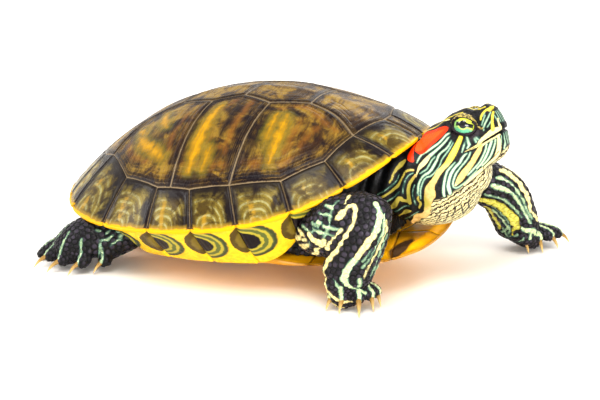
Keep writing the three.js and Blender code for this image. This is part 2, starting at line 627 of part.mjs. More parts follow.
const TAIL = {
  tail_root: [at(-52, 0, 14.5, 6.5, 5.2), at(-60, 0.8, 12.2, 5.2, 4.4), at(-66, 3, 9.4, 4.2, 3.7)],
  tail_tip: [at(-66.5, 3.4, 9, 4.1, 3.6), at(-71, 8.5, 5.2, 3, 2.9), at(-72.5, 16, 2.6, 1.9, 1.9),
    at(-71, 23, 1.3, 0.9, 0.9)],
};

const TRUNK_REACH = 0.84;                 // trunk outline as a share of the rim
const BRIDGE_CLEARANCE = 0.12;            // and this much less between the bridges
const TRUNK_CLEARANCE = 1.6;              // under the dome and over the plastron

function buildTrunk(cutters) {
  const COUNT = 20;
  const outline = Array.from({ length: COUNT }, (_, i) => {
    const turn = 2 * Math.PI * i / COUNT;
    const [x, y] = rimPoint(turn > Math.PI ? 2 * Math.PI - turn : turn);
    const reach = TRUNK_REACH - BRIDGE_CLEARANCE * bridgeShare(x * 0.75);
    return [x * TRUNK_REACH, (turn > Math.PI ? -y : y) * reach];
  });
  const top = (x, y) => domeHeight(x, y) - SCUTE_THICKNESS - TRUNK_CLEARANCE;
  const bottom = (x, y) => plastronHeight(x, y) + PLASTRON_THICKNESS + TRUNK_CLEARANCE / 2;
  const body = plate(outline, [0, 0], top, bottom, [1, 0.8, 0.45]);
  return cut(inFrame(body, shell), ...cutters);
}

function build() {
  const shellParts = [...buildDome(), ...buildMarginals(), ...buildPlastron()]
    .map((geometry) => inFrame(grown(geometry), shell));
  const headSpace = buildHead();
  const neckFront = loft(NECK_FRONT, { sides: 14, steps: 1 });
  const neckBase = loft(NECK_BASE, { sides: 14, steps: 1 });
  add(turtle, 'neck_front', cut(neckFront, headSpace, ...shellParts), SKIN);
  add(turtle, 'neck_base', cut(neckBase, grown(neckFront), headSpace, ...shellParts), SKIN);
  const necks = [grown(neckFront), grown(neckBase)];
  const limbSpaces = Object.entries(LIMBS).flatMap(([name, limb]) => (
    buildLimb(name, limb, shellParts, name.startsWith('fore') ? necks : [])));
  const root = loft(TAIL.tail_root, { sides: 9, steps: 1 });
  const tip = loft(TAIL.tail_tip, { sides: 8, steps: 1 });
  add(turtle, 'tail_root', cut(root, grown(tip), ...shellParts), SKIN);
  add(turtle, 'tail_tip', cut(tip, FLOOR, ...shellParts), SKIN);
  add(turtle, 'trunk', buildTrunk([...shellParts, ...necks, headSpace, ...limbSpaces,
    grown(root), grown(tip)]), SKIN);
}

build();

const group = new THREE.Group();
group.add(turtle);

export default group;
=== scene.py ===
"""A red-eared slider turtle, standing, with its skin, shell plates, eyes and claws."""

import math
from contextlib import contextmanager

import bmesh
import bpy
import numpy as np
from mathutils import Matrix, Vector
from mathutils.bvhtree import BVHTree
from mathutils.kdtree import KDTree


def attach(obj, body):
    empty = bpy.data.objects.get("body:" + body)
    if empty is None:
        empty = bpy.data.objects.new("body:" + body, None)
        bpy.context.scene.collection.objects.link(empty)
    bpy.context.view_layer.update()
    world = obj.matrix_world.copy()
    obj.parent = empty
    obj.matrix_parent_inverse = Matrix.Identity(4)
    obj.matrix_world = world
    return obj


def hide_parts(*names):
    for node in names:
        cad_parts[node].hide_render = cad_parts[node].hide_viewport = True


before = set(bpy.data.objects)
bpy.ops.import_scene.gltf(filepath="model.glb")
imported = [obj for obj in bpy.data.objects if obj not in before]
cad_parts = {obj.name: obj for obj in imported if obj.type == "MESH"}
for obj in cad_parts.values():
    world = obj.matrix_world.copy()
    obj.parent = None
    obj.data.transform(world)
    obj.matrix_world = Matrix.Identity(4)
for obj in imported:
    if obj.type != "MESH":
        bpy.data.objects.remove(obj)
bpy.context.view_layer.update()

# ------------------------------------------------------------------ sizes, in millimetres
MM = 0.001
SHELL_LENGTH = 150
HALF_LENGTH = SHELL_LENGTH / 2
HALF_WIDTH = 61.5
REAR_FLARE = 0.06
RIM_POWER = 2.04
DOME_HEIGHT = 37.4
FRONT_HUMP = 0.119
DOME_POWER = 2.2
DOME_FULLNESS = 0.926
FRONT_LIFT = 17.7
REAR_LIFT = 4.3
PITCH = math.radians(7.92)
ROLL = math.radians(3)
RIM_HEIGHT = 28.5
SCUTE_THICKNESS = 2.6
PLASTRON_THICKNESS = 3
PLASTRON_DROP = 19
PLASTRON_SLOPE = 0.075
LOBE_RISE = 0.8
THROAT_RISE = 2.8                           # its front end turns up this much, ahead of this X
THROAT_START = 58
BRIDGE_RISE = 3
BRIDGE_INSET = 12
SEAM_GAP = 0.06                             # what shows between two plates
RIM_EDGE = 1.6                              # thickness of the free edge of the carapace
HEAD_TILT = math.radians(34)
HEAD_BASE = np.array([74, 0, 48])
EYE_RADIUS = 4.1
EYE_CENTRE = np.array([22.4, 5.0, 3.5])
EYE_SLANT = math.radians(34)                # how far the eye's long axis dips towards the snout
STANCE_CENTRE = np.array([18.21, 0.99, 0])
SKIN_VOXEL = 0.7                            # size of the skin's quads before the head is made finer
SIDES = (("left", 1), ("right", -1))

rng = np.random.default_rng(7)


# ------------------------------------------------------------------ frames of the body
def shell_to_body(points):
    """Pitches and rolls points of the shell's own frame, and stands them at their height."""
    turn = Matrix.Rotation(-PITCH, 3, "Y") @ Matrix.Rotation(ROLL, 3, "X")
    return np.asarray(points) @ np.array(turn).T + [0, 0, RIM_HEIGHT]


def body_to_shell(points):
    turn = Matrix.Rotation(-PITCH, 3, "Y") @ Matrix.Rotation(ROLL, 3, "X")
    return (np.asarray(points) - [0, 0, RIM_HEIGHT]) @ np.array(turn)


def head_to_body(points):
    turn = Matrix.Rotation(-HEAD_TILT, 3, "Y")
    return np.asarray(points) @ np.array(turn).T + HEAD_BASE


def body_to_head(points):
    turn = Matrix.Rotation(-HEAD_TILT, 3, "Y")
    return (np.asarray(points) - HEAD_BASE) @ np.array(turn)


# ------------------------------------------------------------------ meshes
def new_mesh(name, points, faces):
    """A smooth mesh object from points in millimetres, whose origin is on the floor under the shell."""
    mesh = bpy.data.meshes.new(name)
    mesh.from_pydata(((np.asarray(points) - STANCE_CENTRE) * MM).tolist(), [], faces)
    mesh.shade_smooth()
    mesh.update()
    piece = bpy.data.objects.new(name, mesh)
    bpy.context.scene.collection.objects.link(piece)
    return piece


def store(piece, **values):
    """Keeps numbers or vectors for each vertex, for the materials to read."""
    for name, numbers in values.items():
        numbers = np.asarray(numbers, dtype=np.float32)
        vector = numbers.ndim == 2
        layer = piece.data.attributes.new(name, "FLOAT_VECTOR" if vector else "FLOAT", "POINT")
        layer.data.foreach_set("vector" if vector else "value", numbers.ravel())


def finished(piece, material, nodes):
    piece.data.materials.clear()
    piece.data.materials.append(material)
    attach(piece, "root")
    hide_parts(*nodes)
    return piece


def points_of(piece):
    flat = np.empty(len(piece.data.vertices) * 3, dtype=np.float32)
    piece.data.vertices.foreach_get("co", flat)
    return flat.reshape(-1, 3).astype(float) / MM + STANCE_CENTRE


def normals_of(piece):
    flat = np.empty(len(piece.data.vertices) * 3, dtype=np.float32)
    piece.data.vertex_normals.foreach_get("vector", flat)
    return flat.reshape(-1, 3).astype(float)


def move_to(piece, points):
    flat = ((points - STANCE_CENTRE) * MM).astype(np.float32).ravel()
    piece.data.vertices.foreach_set("co", flat)
    piece.data.update()


def grid_faces(rows, columns, closed=False, start=0):
    """Quads over rows of points; a closed grid joins its last column to its first."""
    faces = []
    for row in range(rows - 1):
        for column in range(columns if closed else columns - 1):
            ahead = (column + 1) % columns
            base = start + row * columns
            faces.append((base + column, base + ahead, base + columns + ahead, base + columns + column))
    return faces


@contextmanager
def editing(piece):
    """The piece's mesh as a bmesh, put back when the work on it is done."""
    work = bmesh.new()
    work.from_mesh(piece.data)
    yield work
    work.to_mesh(piece.data)
    work.free()


def turn_out(piece):
    """Turns the faces of closed bodies outwards."""
    with editing(piece) as work:
        bmesh.ops.recalc_face_normals(work, faces=work.faces)


def end_faces(rings, sides):
    """The faces that close both ends of a tube of rings."""
    return [tuple(range(sides))[::-1], tuple(range((rings - 1) * sides, rings * sides))]


def joined(bodies):
    """Points and faces of several bodies as one; each body is points, faces and anything more."""
    points, faces, start = [], [], 0
    for body_points, body_faces, *_ in bodies:
        points.append(body_points)
        faces += [tuple(start + index for index in face) for face in body_faces]
        start += len(body_points)
    return np.vstack(points), faces


def mirrored(outline):
    """The same outline across the midline, run the other way."""
    return [[x, -y] for x, y in outline[::-1]]


def unit(vectors):
    """The same directions with a length of 1; the last axis holds the coordinates."""
    return vectors / np.linalg.norm(vectors, axis=-1, keepdims=True)


def lookup_of(places):
    lookup = KDTree(len(places))
    for index, place in enumerate(places):
        lookup.insert(place, index)
    lookup.balance()
    return lookup


def ramp(low, high, value):
    """0 below low and 1 above high, with a smooth rise; low may be the greater of the two."""
    share = np.clip((np.asarray(value, dtype=float) - low) / (high - low), 0, 1)
    return share * share * (3 - 2 * share)


def bump(distance, width):
    """1 at distance 0, and a smooth fall to nothing at about twice the width."""
    return np.exp(-(np.asarray(distance) / width) ** 2)


def ripple(points, length, seed):
    """A smooth uneven field from -1 to 1, with waves of about the given length."""
    draw = np.random.default_rng(seed)
    total = np.zeros(len(points))
    for _ in range(5):
        way = unit(draw.normal(size=points.shape[1]))
        total += np.sin(points @ way * 2 * math.pi / (length * draw.uniform(0.7, 1.4)) + draw.uniform(0, 6.3))
    return total / 5


# ------------------------------------------------------------------ curves
def catmull(points, shares, even=False):
    """Points of a smooth curve through the given ones, at shares from 0 to 1 of its spans.

    With even, all spans count as equally long; without it, uneven spans make no loops.
    """
    points = np.asarray(points, dtype=float)
    last = len(points) - 1
    padded = np.vstack([2 * points[0] - points[1], points, 2 * points[-1] - points[-2]])
    place = np.clip(np.asarray(shares, dtype=float) * last, 0, last)
    span = np.minimum(place.astype(int), last - 1)
    k = (place - span)[:, None]
    p0, p1, p2, p3 = (padded[span + i] for i in range(4))
    if even:
        out, into = (p2 - p0) / 2, (p3 - p1) / 2
    else:
        d0, d1, d2 = (np.maximum(np.linalg.norm(b - a, axis=1), 1e-6)[:, None] ** 0.5
                      for a, b in ((p0, p1), (p1, p2), (p2, p3)))
        out = ((p1 - p0) / d0 - (p2 - p0) / (d0 + d1) + (p2 - p1) / d1) * d1
        into = ((p2 - p1) / d1 - (p3 - p1) / (d1 + d2) + (p3 - p2) / d2) * d1
    return (p1 * (2 * k ** 3 - 3 * k ** 2 + 1) + out * (k ** 3 - 2 * k ** 2 + k)
            + p2 * (3 * k ** 2 - 2 * k ** 3) + into * (k ** 3 - k ** 2))


def resampled(points, count, closed=False):
    """The same line with points at even distances along it."""
    points = np.asarray(points, dtype=float)
    if closed:
        points = np.vstack([points, points[:1]])
    length = np.concatenate([[0], np.cumsum(np.linalg.norm(np.diff(points, axis=0), axis=1))])
    wanted = np.linspace(0, length[-1], count + 1 if closed else count)
    even = np.column_stack([np.interp(wanted, length, points[:, axis]) for axis in range(points.shape[1])])
    return even[:-1] if closed else even


def distance_to_line(points, line):
    """Distance from each point to a line of short straight pieces, and how far along the nearest is."""
    points, line = np.asarray(points, dtype=float), np.asarray(line, dtype=float)
    best = np.full(len(points), np.inf)
    share = np.zeros(len(points))
    for i in range(len(line) - 1):
        step = line[i + 1] - line[i]
        k = np.clip((points - line[i]) @ step / max(step @ step, 1e-12), 0, 1)
        away = np.linalg.norm(points - line[i] - k[:, None] * step, axis=1)
        nearer = away < best
        best[nearer] = away[nearer]
        share[nearer] = (i + k[nearer]) / (len(line) - 1)
    return best, share


# ------------------------------------------------------------------ surfaces of the shell
def half_width_at(x):
    """Half the width of the carapace's plan, which is broader behind."""
    return HALF_WIDTH * (1 - REAR_FLARE * x / HALF_LENGTH)


def rim_point(angle):
    """The rim of the carapace in plan, on the left; angle 0 is its front and pi its rear."""
    cosine = math.cos(angle)
    x = HALF_LENGTH * math.copysign(abs(cosine) ** (2 / RIM_POWER), cosine)
    return np.array([x, half_width_at(x) * abs(math.sin(angle)) ** (2 / RIM_POWER)])


def rim_angle(x):
    return math.acos(math.copysign(abs(x / HALF_LENGTH) ** (RIM_POWER / 2), x))


def dome_height(x, y):
    """Height of the carapace's face over the middle of its rim."""
    along = np.asarray(x) / HALF_LENGTH
    across = np.asarray(y) / half_width_at(np.asarray(x))
    reach = (np.abs(along) ** RIM_POWER + np.abs(across) ** RIM_POWER) ** (1 / RIM_POWER)
    lift = np.where(along > 0, FRONT_LIFT, REAR_LIFT) * np.abs(along) ** 3
    fall = (1 - np.minimum(reach, 1) ** DOME_POWER) ** DOME_FULLNESS
    return lift + DOME_HEIGHT * (1 + FRONT_HUMP * along) * fall


def bridge_share(x):
    """1 where the bridge joins the plastron to the carapace, and 0 ahead of it and behind it."""
    return ramp(-36, -20, x) * (1 - ramp(26, 42, x))


def bridge_edge(x):
    return [x, rim_point(rim_angle(x))[1] - BRIDGE_INSET - 0.3]


PLASTRON_EDGE = np.array([
    [78.5, 0], [78.4, 9], [77.4, 16.5], [71.5, 25], [60, 31.5], [48, 34.5], [40, 37.5], [33, 42],
    bridge_edge(25), bridge_edge(10), bridge_edge(-5), bridge_edge(-17), [-26, 42], [-33, 35.5],
    [-45, 34], [-56, 29.5], [-64, 22], [-69, 12], [-66.5, 0]])


def plastron_half_width(x):
    front_to_back = PLASTRON_EDGE[:-1]
    return np.interp(-np.asarray(x), -front_to_back[:, 0], front_to_back[:, 1], left=10, right=12)


def plastron_height(x, y):
    """Height of the plastron's lower face, which turns up at its sides and its throat."""
    side = np.minimum(np.abs(y) / plastron_half_width(x), 1.2)
    rise = LOBE_RISE + (BRIDGE_RISE - LOBE_RISE) * bridge_share(x)
    ahead = np.maximum(0, (np.asarray(x) - THROAT_START) / (PLASTRON_EDGE[0][0] - THROAT_START))
    return -PLASTRON_DROP - PLASTRON_SLOPE * np.asarray(x) + rise * side ** 4 + THROAT_RISE * ahead ** 1.3


def plastron_depth(plan):
    """How far the upper face lies over the lower one: less towards the free edges of the lobes."""
    away = distance_to_line(np.column_stack([plan[:, 0], np.abs(plan[:, 1])]), PLASTRON_EDGE)[0]
    return -PLASTRON_THICKNESS * (1 - 0.62 * (1 - bridge_share(plan[:, 0])) * ramp(5, 0.5, away))


# ------------------------------------------------------------------ seams of the carapace
RIM_SEAMS = [74.96, 71.4, 60, 44.2, 26.2, 9.3, -9.2, -31.5, -56, -64.5, -70.5, -74, -74.999]
INNER_SEAMS = np.array([
    [63, 3], [57.5, 18.7], [51.9, 32], [39, 42.8], [21, 48.6], [5.7, 51.8], [-8.4, 51.5],
    [-25.8, 46], [-41.5, 31], [-50.5, 24.5], [-56.5, 17.5], [-60.3, 9], [-61.5, 0.2]])
COSTAL_THREE_FOOT = INNER_SEAMS[5] + (INNER_SEAMS[6] - INNER_SEAMS[5]) * 0.58
VERTEBRAL = {"one": [37, 9.5], "apex_two": [22.5, 14.5], "two": [9.5, 10], "apex_three": [-3, 14],
             "three": [-19.5, 9.5], "apex_four": [-35, 13.5], "four": [-46.5, 8]}
SEAM_STEPS = 12


def smooth_seam(*points):
    return catmull(points, np.linspace(0, 1, (len(points) - 1) * SEAM_STEPS + 1)).tolist()


SEAM_ONE = smooth_seam(INNER_SEAMS[1], [48, 12.4], VERTEBRAL["one"])
COSTAL_SEAMS = [
    smooth_seam(VERTEBRAL["apex_two"], [21.3, 30], INNER_SEAMS[4]),
    smooth_seam(VERTEBRAL["apex_three"], [-3.8, 33], COSTAL_THREE_FOOT),
    smooth_seam(VERTEBRAL["apex_four"], [-39, 22], INNER_SEAMS[8])]


def outline_of(*runs):
    """Runs joined end to end into one closed outline, without doubled corners."""
    joined = []
    for run in runs:
        for point in run:
            point = [float(point[0]), float(point[1])]
            if not joined or math.dist(point, joined[-1]) > 1e-6:
                joined.append(point)
    if math.dist(joined[0], joined[-1]) < 1e-6:
        joined.pop()
    return joined


def left_costals():
    """Plan outlines of the four left costal plates, from the front."""
    inner = INNER_SEAMS.tolist()
    one, two, three = COSTAL_SEAMS
    v = VERTEBRAL
    return [
        outline_of(inner[1:5], one[::-1], [v["one"]], SEAM_ONE[::-1]),
        outline_of(inner[4:6], [COSTAL_THREE_FOOT], two[::-1], [v["two"], v["apex_two"]], one),
        outline_of([COSTAL_THREE_FOOT], inner[6:9], three[::-1], [v["three"], v["apex_three"]], two),
        outline_of(inner[8:11], [v["four"], v["apex_four"]], three)]


def vertebrals():
    """Plan outlines of the five plates along the midline, from the front."""
    v = VERTEBRAL
    edges = [
        [INNER_SEAMS[0], *SEAM_ONE],
        [v["one"], v["apex_two"], v["two"]],
        [v["two"], v["apex_three"], v["three"]],
        [v["three"], v["apex_four"], v["four"]],
        [v["four"], *INNER_SEAMS[10:12], INNER_SEAMS[12]]]
    return [outline_of(edge, mirrored(edge)) for edge in edges]


# ------------------------------------------------------------------ plates of horn
def drawn_in(outline, amount):
    """An outline moved inwards."""
    before = np.roll(outline, 1, axis=0)
    after = np.roll(outline, -1, axis=0)
    tangent = unit(after - before)
    return outline + amount * np.column_stack([-tangent[:, 1], tangent[:, 0]])


def plate(name, outline, areola, height, depth, relief, rows=44, columns=220, back_rows=2):
    """A plate of horn over a plan outline, in rings that shrink towards its areola.

    height gives the plate's face, depth how far below it the back lies, as a length or by place
    (negative for a back above the face), and relief lifts the face by an amount that depends on
    each point's place.
    Returns the piece, with the plan point of each of its vertices and which of them are on the back.
    """
    edge = drawn_in(resampled(outline, columns, closed=True), SEAM_GAP)
    inward = np.concatenate([np.linspace(0.95, 0.02, back_rows), [0, 0],
                             np.linspace(0, 1, rows) ** 1.25 * 0.985])
    drop = np.concatenate([np.ones(back_rows), [0.8, 0.3], np.zeros(rows)])
    plan = (edge[None] + (np.asarray(areola) - edge)[None] * inward[:, None, None]).reshape(-1, 2)
    plan = np.vstack([plan, areola, areola])
    growth = np.append(np.repeat(inward, columns), [1, 1])
    drop = np.append(np.repeat(drop, columns), [0, 1])
    seam = distance_to_line(plan, np.vstack([edge, edge[:1]]))[0]
    if callable(depth):
        depth = depth(plan)
    lift = relief(plan, growth, seam) * np.sign(depth) * (drop == 0)
    points = np.column_stack([plan, height(plan[:, 0], plan[:, 1]) - depth * drop + lift])
    faces = grid_faces(len(inward), columns, closed=True)
    last = (len(inward) - 1) * columns
    end = len(points) - 2
    for i in range(columns):
        ahead = (i + 1) % columns
        faces.append((last + i, last + ahead, end))
        faces.append((ahead, i, end + 1))
    piece = new_mesh(name, shell_to_body(points), faces)
    turn_out(piece)
    store(piece, seam=seam, growth=growth, place=np.column_stack([plan - areola, growth]))
    return piece, plan, drop > 0.5


def carapace_relief(keel):
    """Growth rings, a sunken seam, and a low keel along the midline of the middle plates."""
    def relief(plan, growth, seam):
        rings = sum(bump(growth - ring, 0.012) for ring in (0.16, 0.27, 0.42, 0.6))
        fine = 0.5 + 0.5 * np.cos(growth * 2 * math.pi * 22)
        lift = -0.16 * rings - 0.035 * fine * (1 - ramp(0.55, 0.8, growth))
        lift += 0.10 * ripple(plan, 19, 5) + 0.04 * ripple(plan, 6, 6)
        lift += 0.16 * bump(seam - 1.3, 0.8) - 0.42 * bump(seam, 0.45)
        return lift + keel * bump(plan[:, 1], 2.6) * ramp(0, 3, seam)
    return relief


def plastron_relief(plan, growth, seam):
    return -0.35 * bump(seam, 0.4) - 0.05 * bump(growth - 0.3, 0.02) + 0.08 * ripple(plan, 15, 8)


# Streaks of each costal plate, as lines of plan points with a half width: bright yellow bars,
# rusty brown streaks and dark patches.
BARS = {
    1: [([[32.6, 20.5], [33, 29], [33.2, 39]], 1.7), ([[28.6, 21], [29, 27], [29.2, 33]], 0.9)],
    2: [([[3.6, 19.5], [3, 29], [2.8, 38], [3.4, 46.5]], 2.2), ([[8.6, 38], [8.8, 42], [8.4, 46]], 0.9)],
    3: [([[-11, 42], [-17, 38], [-23, 34.5], [-29, 29]], 1.7), ([[-16, 28], [-20.5, 23], [-23, 17]], 1.5),
        ([[-26.5, 28], [-32, 24]], 1.3)],
    4: [([[-44, 12], [-47, 17], [-50, 20]], 1.4)]}
RUST = {
    1: [([[51, 20], [45, 17.4], [39, 13.4], [33, 14.4], [28.5, 17.6]], 0.9),
        ([[48, 26], [43, 33], [38, 37], [29, 40.5], [21, 42]], 0.5), ([[38, 22], [37.4, 30], [37, 36]], 0.9),
        ([[45, 22], [43, 27], [42.5, 31]], 0.8)],
    2: [([[15.6, 14], [15, 22], [14.8, 30], [15.2, 39]], 0.9),
        ([[18.4, 34], [10, 39], [2, 41.2], [-3, 41]], 0.5), ([[18, 43], [8, 44.8], [-2, 44.4]], 0.45),
        ([[8, 15], [5, 24], [7, 36]], 0.8)],
    3: [([[-5, 40], [-6, 30], [-4.6, 18]], 0.9), ([[-9, 22], [-11, 31], [-9, 40]], 0.9),
        ([[-34, 30], [-30, 36], [-22, 41], [-10, 43]], 0.6)],
    4: [([[-42, 20], [-46, 22], [-52, 18]], 0.9), ([[-41, 12], [-43, 16], [-46, 21]], 0.9)]}
SHADE = {
    1: [([[37.5, 17], [34, 17.8], [30.5, 15.4]], 1.8), ([[25.6, 18], [25, 30], [24.4, 44]], 1.7),
        ([[51, 24], [46, 29.5], [41, 38]], 1.9), ([[36, 42.5], [28, 45], [22, 46]], 1.3)],
    2: [([[11.4, 14], [11.2, 24], [11.4, 34]], 1.5), ([[18.2, 18], [18, 32], [18.6, 47]], 1.4),
        ([[6.4, 14], [0, 15.6], [-2, 18]], 1.2)],
    3: [([[-11.5, 25], [-13.6, 29], [-15.6, 27]], 2.6), ([[-6.5, 44], [-7.6, 34], [-7, 20]], 1.1),
        ([[-27, 18], [-35, 20], [-35, 27]], 1.6), ([[-20, 44], [-28, 40], [-34, 34]], 1.1)],
    4: [([[-40, 15], [-44, 19], [-43, 26]], 1.5)]}


def streak_distance(plan, streaks, seed):
    """How far each point lies outside the nearest streak, and negative inside it."""
    best = np.full(len(plan), 50.0)
    uneven = 0.8 * ripple(plan, 5, seed) + 0.5 * ripple(plan, 2.2, seed + 1)
    for line, half_width in streaks:
        curve = catmull(line, np.linspace(0, 1, 24))
        away, share = distance_to_line(np.column_stack([plan[:, 0], np.abs(plan[:, 1])]), curve)
        taper = np.sqrt(np.clip(4 * share * (1 - share), 0.1, 1))
        best = np.minimum(best, away - half_width * taper + uneven)
    return best


def carapace_plate(node, outline, areola, material, keel=0.0, costal=0):
    piece, plan, _ = plate(f"horn_{node}", outline, areola, dome_height, SCUTE_THICKNESS - 0.4,
                           carapace_relief(keel))
    store(piece, bar=streak_distance(plan, BARS.get(costal, []), 11),
          rust=streak_distance(plan, RUST.get(costal, []), 13),
          shade=streak_distance(plan, SHADE.get(costal, []), 15))
    return finished(piece, material, [node])


def build_carapace(material):
    costal_areolas = [[29, 22.5], [2, 23.5], [-21, 22], [-44.5, 15.5]]
    for i, outline in enumerate(left_costals()):
        x, y = costal_areolas[i]
        carapace_plate(f"carapace_costal_left_{i + 1}", outline, [x, y], material, costal=i + 1)
        carapace_plate(f"carapace_costal_right_{i + 1}", mirrored(outline), [x, -y], material, costal=i + 1)
    for i, outline in enumerate(vertebrals()):
        middle = np.mean([outline[0][0], outline[len(outline) // 2][0]])
        carapace_plate(f"carapace_vertebral_{i + 1}", outline, [middle - 3, 0], material, keel=0.5)
    edge = [rim_point(rim_angle(RIM_SEAMS[0])), INNER_SEAMS[0]]
    carapace_plate("carapace_nuchal", outline_of(edge, mirrored(edge)), [69, 0], material)


# ------------------------------------------------------------------ marginal plates
TOP_POINTS = 30                             # of one cross-section: over the top, round its edge, below
EDGE_POINTS = 7
LOWER_POINTS = 34
FIRST_TOOTHED = 8                           # from this marginal on, counted from 0, the rim is notched


def marginal_section(angle, inner, side, pull):
    """One cross-section: over the top to the rim, round its edge, and back underneath."""
    inner = np.asarray(inner)
    rim = rim_point(angle)
    outward = (rim - inner) / np.linalg.norm(rim - inner)
    rim = rim - outward * pull

    def above(k, drop=0.0):
        x, y = inner + (rim - inner) * k
        return np.array([x, y, dome_height(x, y) - drop])

    top = [above(k) for k in np.linspace(0, 1, TOP_POINTS)]
    turns = np.linspace(0, math.pi, EDGE_POINTS + 2)[1:-1]
    edge = [above(1, RIM_EDGE / 2) + [*(outward * 0.75 * math.sin(turn)), RIM_EDGE / 2 * math.cos(turn)]
            for turn in turns]
    share = float(ramp(-36, -20, rim[0]) * (1 - ramp(24, 66, rim[0])))
    foot = float(plastron_height(rim[0], plastron_half_width(rim[0])))
    wall = rim[1] - BRIDGE_INSET

    def blend(free, tied):
        """From the section of a free rim to that of the bridge, which reaches down to the plastron."""
        return free + (np.asarray(tied) - free) * share

    under = [above(1, RIM_EDGE),
             blend(above(0.65, SCUTE_THICKNESS + 0.4), [rim[0], rim[1] - BRIDGE_INSET * 0.45, foot * 0.55]),
             blend(above(0.35, SCUTE_THICKNESS + 0.2), [rim[0], wall, foot]),
             blend(above(0.15, SCUTE_THICKNESS), [rim[0], wall, foot + PLASTRON_THICKNESS]),
             blend(above(0, SCUTE_THICKNESS), [rim[0], wall - 1.5, foot + PLASTRON_THICKNESS + 3])]
    bottom = catmull(under, np.linspace(0, 1, LOWER_POINTS), even=True)
    return np.vstack([top, edge, bottom]) * [1, side, 1]


def marginal_plate(number, side, columns=64):
    """One marginal, with how far each point is from its seams, the inner seam and the rim."""
    start, end = INNER_SEAMS[number], INNER_SEAMS[number + 1]
    first, last = (rim_angle(x) for x in RIM_SEAMS[number:number + 2])
    notch = 1.1 if number >= FIRST_TOOTHED else 0.35
    width = np.linalg.norm(rim_point(first) - rim_point(last))
    gap = SEAM_GAP / max(width, 1)
    share = 0.5 - 0.5 * np.cos(np.linspace(0, math.pi, columns))
    share = gap + share * (1 - 2 * gap)
    rings = []
    for k in share:
        pull = notch * math.exp(-(min(k, 1 - k) * width / 1.5) ** 2)
        rings.append(marginal_section(first + (last - first) * k, start + (end - start) * k, side, pull))
    rings = np.array(rings)
    rows = rings.shape[1]
    step = np.linalg.norm(np.diff(rings, axis=1), axis=2)
    walk = np.concatenate([np.zeros((columns, 1)), np.cumsum(step, axis=1)], axis=1)
    at_rim = TOP_POINTS + EDGE_POINTS // 2
    from_rim = walk[:, at_rim:at_rim + 1] - walk
    seam = np.repeat(np.minimum(share, 1 - share)[:, None], rows, 1) * width
    any_seam = np.minimum(seam, walk + SEAM_GAP)
    growth_plan = np.column_stack([np.repeat(share * width, rows), walk.ravel()])
    normal = np.cross(np.gradient(rings, axis=1), np.gradient(rings, axis=0))
    normal /= np.linalg.norm(normal, axis=2)[:, :, None] + 1e-9
    if normal[columns // 2, TOP_POINTS // 2][2] < 0:
        normal = -normal
    towards_seams = np.abs(share[:, None] - 0.62) / 0.6
    towards_dome = np.maximum(1 - walk / walk[:, at_rim:at_rim + 1], 0)
    rings_of_growth = (towards_seams ** 3.2 + towards_dome ** 3.2) ** (1 / 3.2)
    lift = -0.4 * bump(any_seam, 0.45) + 0.12 * bump(any_seam - 1.2, 0.7)
    fine_rings = 0.5 + 0.5 * np.cos(rings_of_growth * 2 * math.pi * 11)
    lift += -0.03 * fine_rings * ramp(0.25, 0.5, rings_of_growth)
    lift += 0.08 * ripple(growth_plan, 9, 21 + number).reshape(columns, rows)
    lift *= np.where(np.arange(rows)[None] < rows - 4, 1, 0)
    points = (rings + normal * lift[:, :, None]).reshape(-1, 3)
    faces = grid_faces(columns, rows, closed=True) + [face[::-1] for face in end_faces(columns, rows)]
    if side < 0:
        faces = [face[::-1] for face in faces]
    values = {"seam": seam, "inner": walk, "rim": from_rim,
              "across": np.repeat(share[:, None], rows, 1), "growth": rings_of_growth}
    return points, faces, {name: value.ravel() for name, value in values.items()}


def build_marginals(material):
    groups = {"front": (0, 4), "bridge": (4, 7), "rear": (7, 12)}
    for side_name, side in SIDES:
        for group, (first, last) in groups.items():
            plates = [marginal_plate(number, side) for number in range(first, last)]
            points, faces = joined(plates)
            node = f"carapace_marginals_{group}_{side_name}"
            piece = new_mesh(f"horn_{node}", shell_to_body(points), faces)
            turn_out(piece)
            store(piece, **{key: np.concatenate([values[key] for _, _, values in plates])
                            for key in plates[0][2]})
            finished(piece, material, [node])


# ------------------------------------------------------------------ plastron
PLASTRON_SEAMS = [("gular", 62, 70), ("humeral", 47, 42), ("pectoral", 23, 17), ("abdominal", -13, -24),
                  ("femoral", -38, -50), ("anal", -66.5, -66.5)]
BLOTCHES = {                                # centre of each dark blotch, and its half sizes
    "gular": ([69, 8], [4, 4.5]), "humeral": ([56, 17], [5.5, 4]), "pectoral": ([33, 21], [6.5, 7]),
    "abdominal": ([1, 24], [8, 8]), "femoral": ([-32, 18], [6, 7]), "anal": ([-54, 11], [6, 5])}
LIP_BLOTCH = ([70.2, 17.5], [2.6, 9.5])     # the blotch on the upper side of the front lobe


def in_blotch(spot, blotch):
    """1 on the edge of a blotch and less inside it."""
    centre, half_sizes = blotch
    return np.hypot(*((spot - centre) / half_sizes).T)


def plastron_edge_between(front, rear):
    between = [point for point in PLASTRON_EDGE.tolist() if rear + 0.5 < point[0] < front - 0.5]
    return [[front, float(plastron_half_width(front))], *between, [rear, float(plastron_half_width(rear))]]


def plastron_outlines():
    """The name and the plan outline of each left plate, from the front."""
    front_middle, front_edge = PLASTRON_EDGE[0][0], None
    for name, rear_middle, rear_edge in PLASTRON_SEAMS:
        if front_edge is None:
            outer = [p for p in PLASTRON_EDGE.tolist() if p[0] > rear_edge and p[1] > 0]
            outer.append([rear_edge, float(plastron_half_width(rear_edge))])
        elif name == "anal":
            outer = [[front_edge, float(plastron_half_width(front_edge))],
                     *[p for p in PLASTRON_EDGE.tolist() if p[0] < front_edge and p[1] > 0]]
        else:
            outer = plastron_edge_between(front_edge, rear_edge)
        yield name, outline_of([[front_middle, 0]], outer, [[rear_middle, 0]])
        front_middle, front_edge = rear_middle, rear_edge


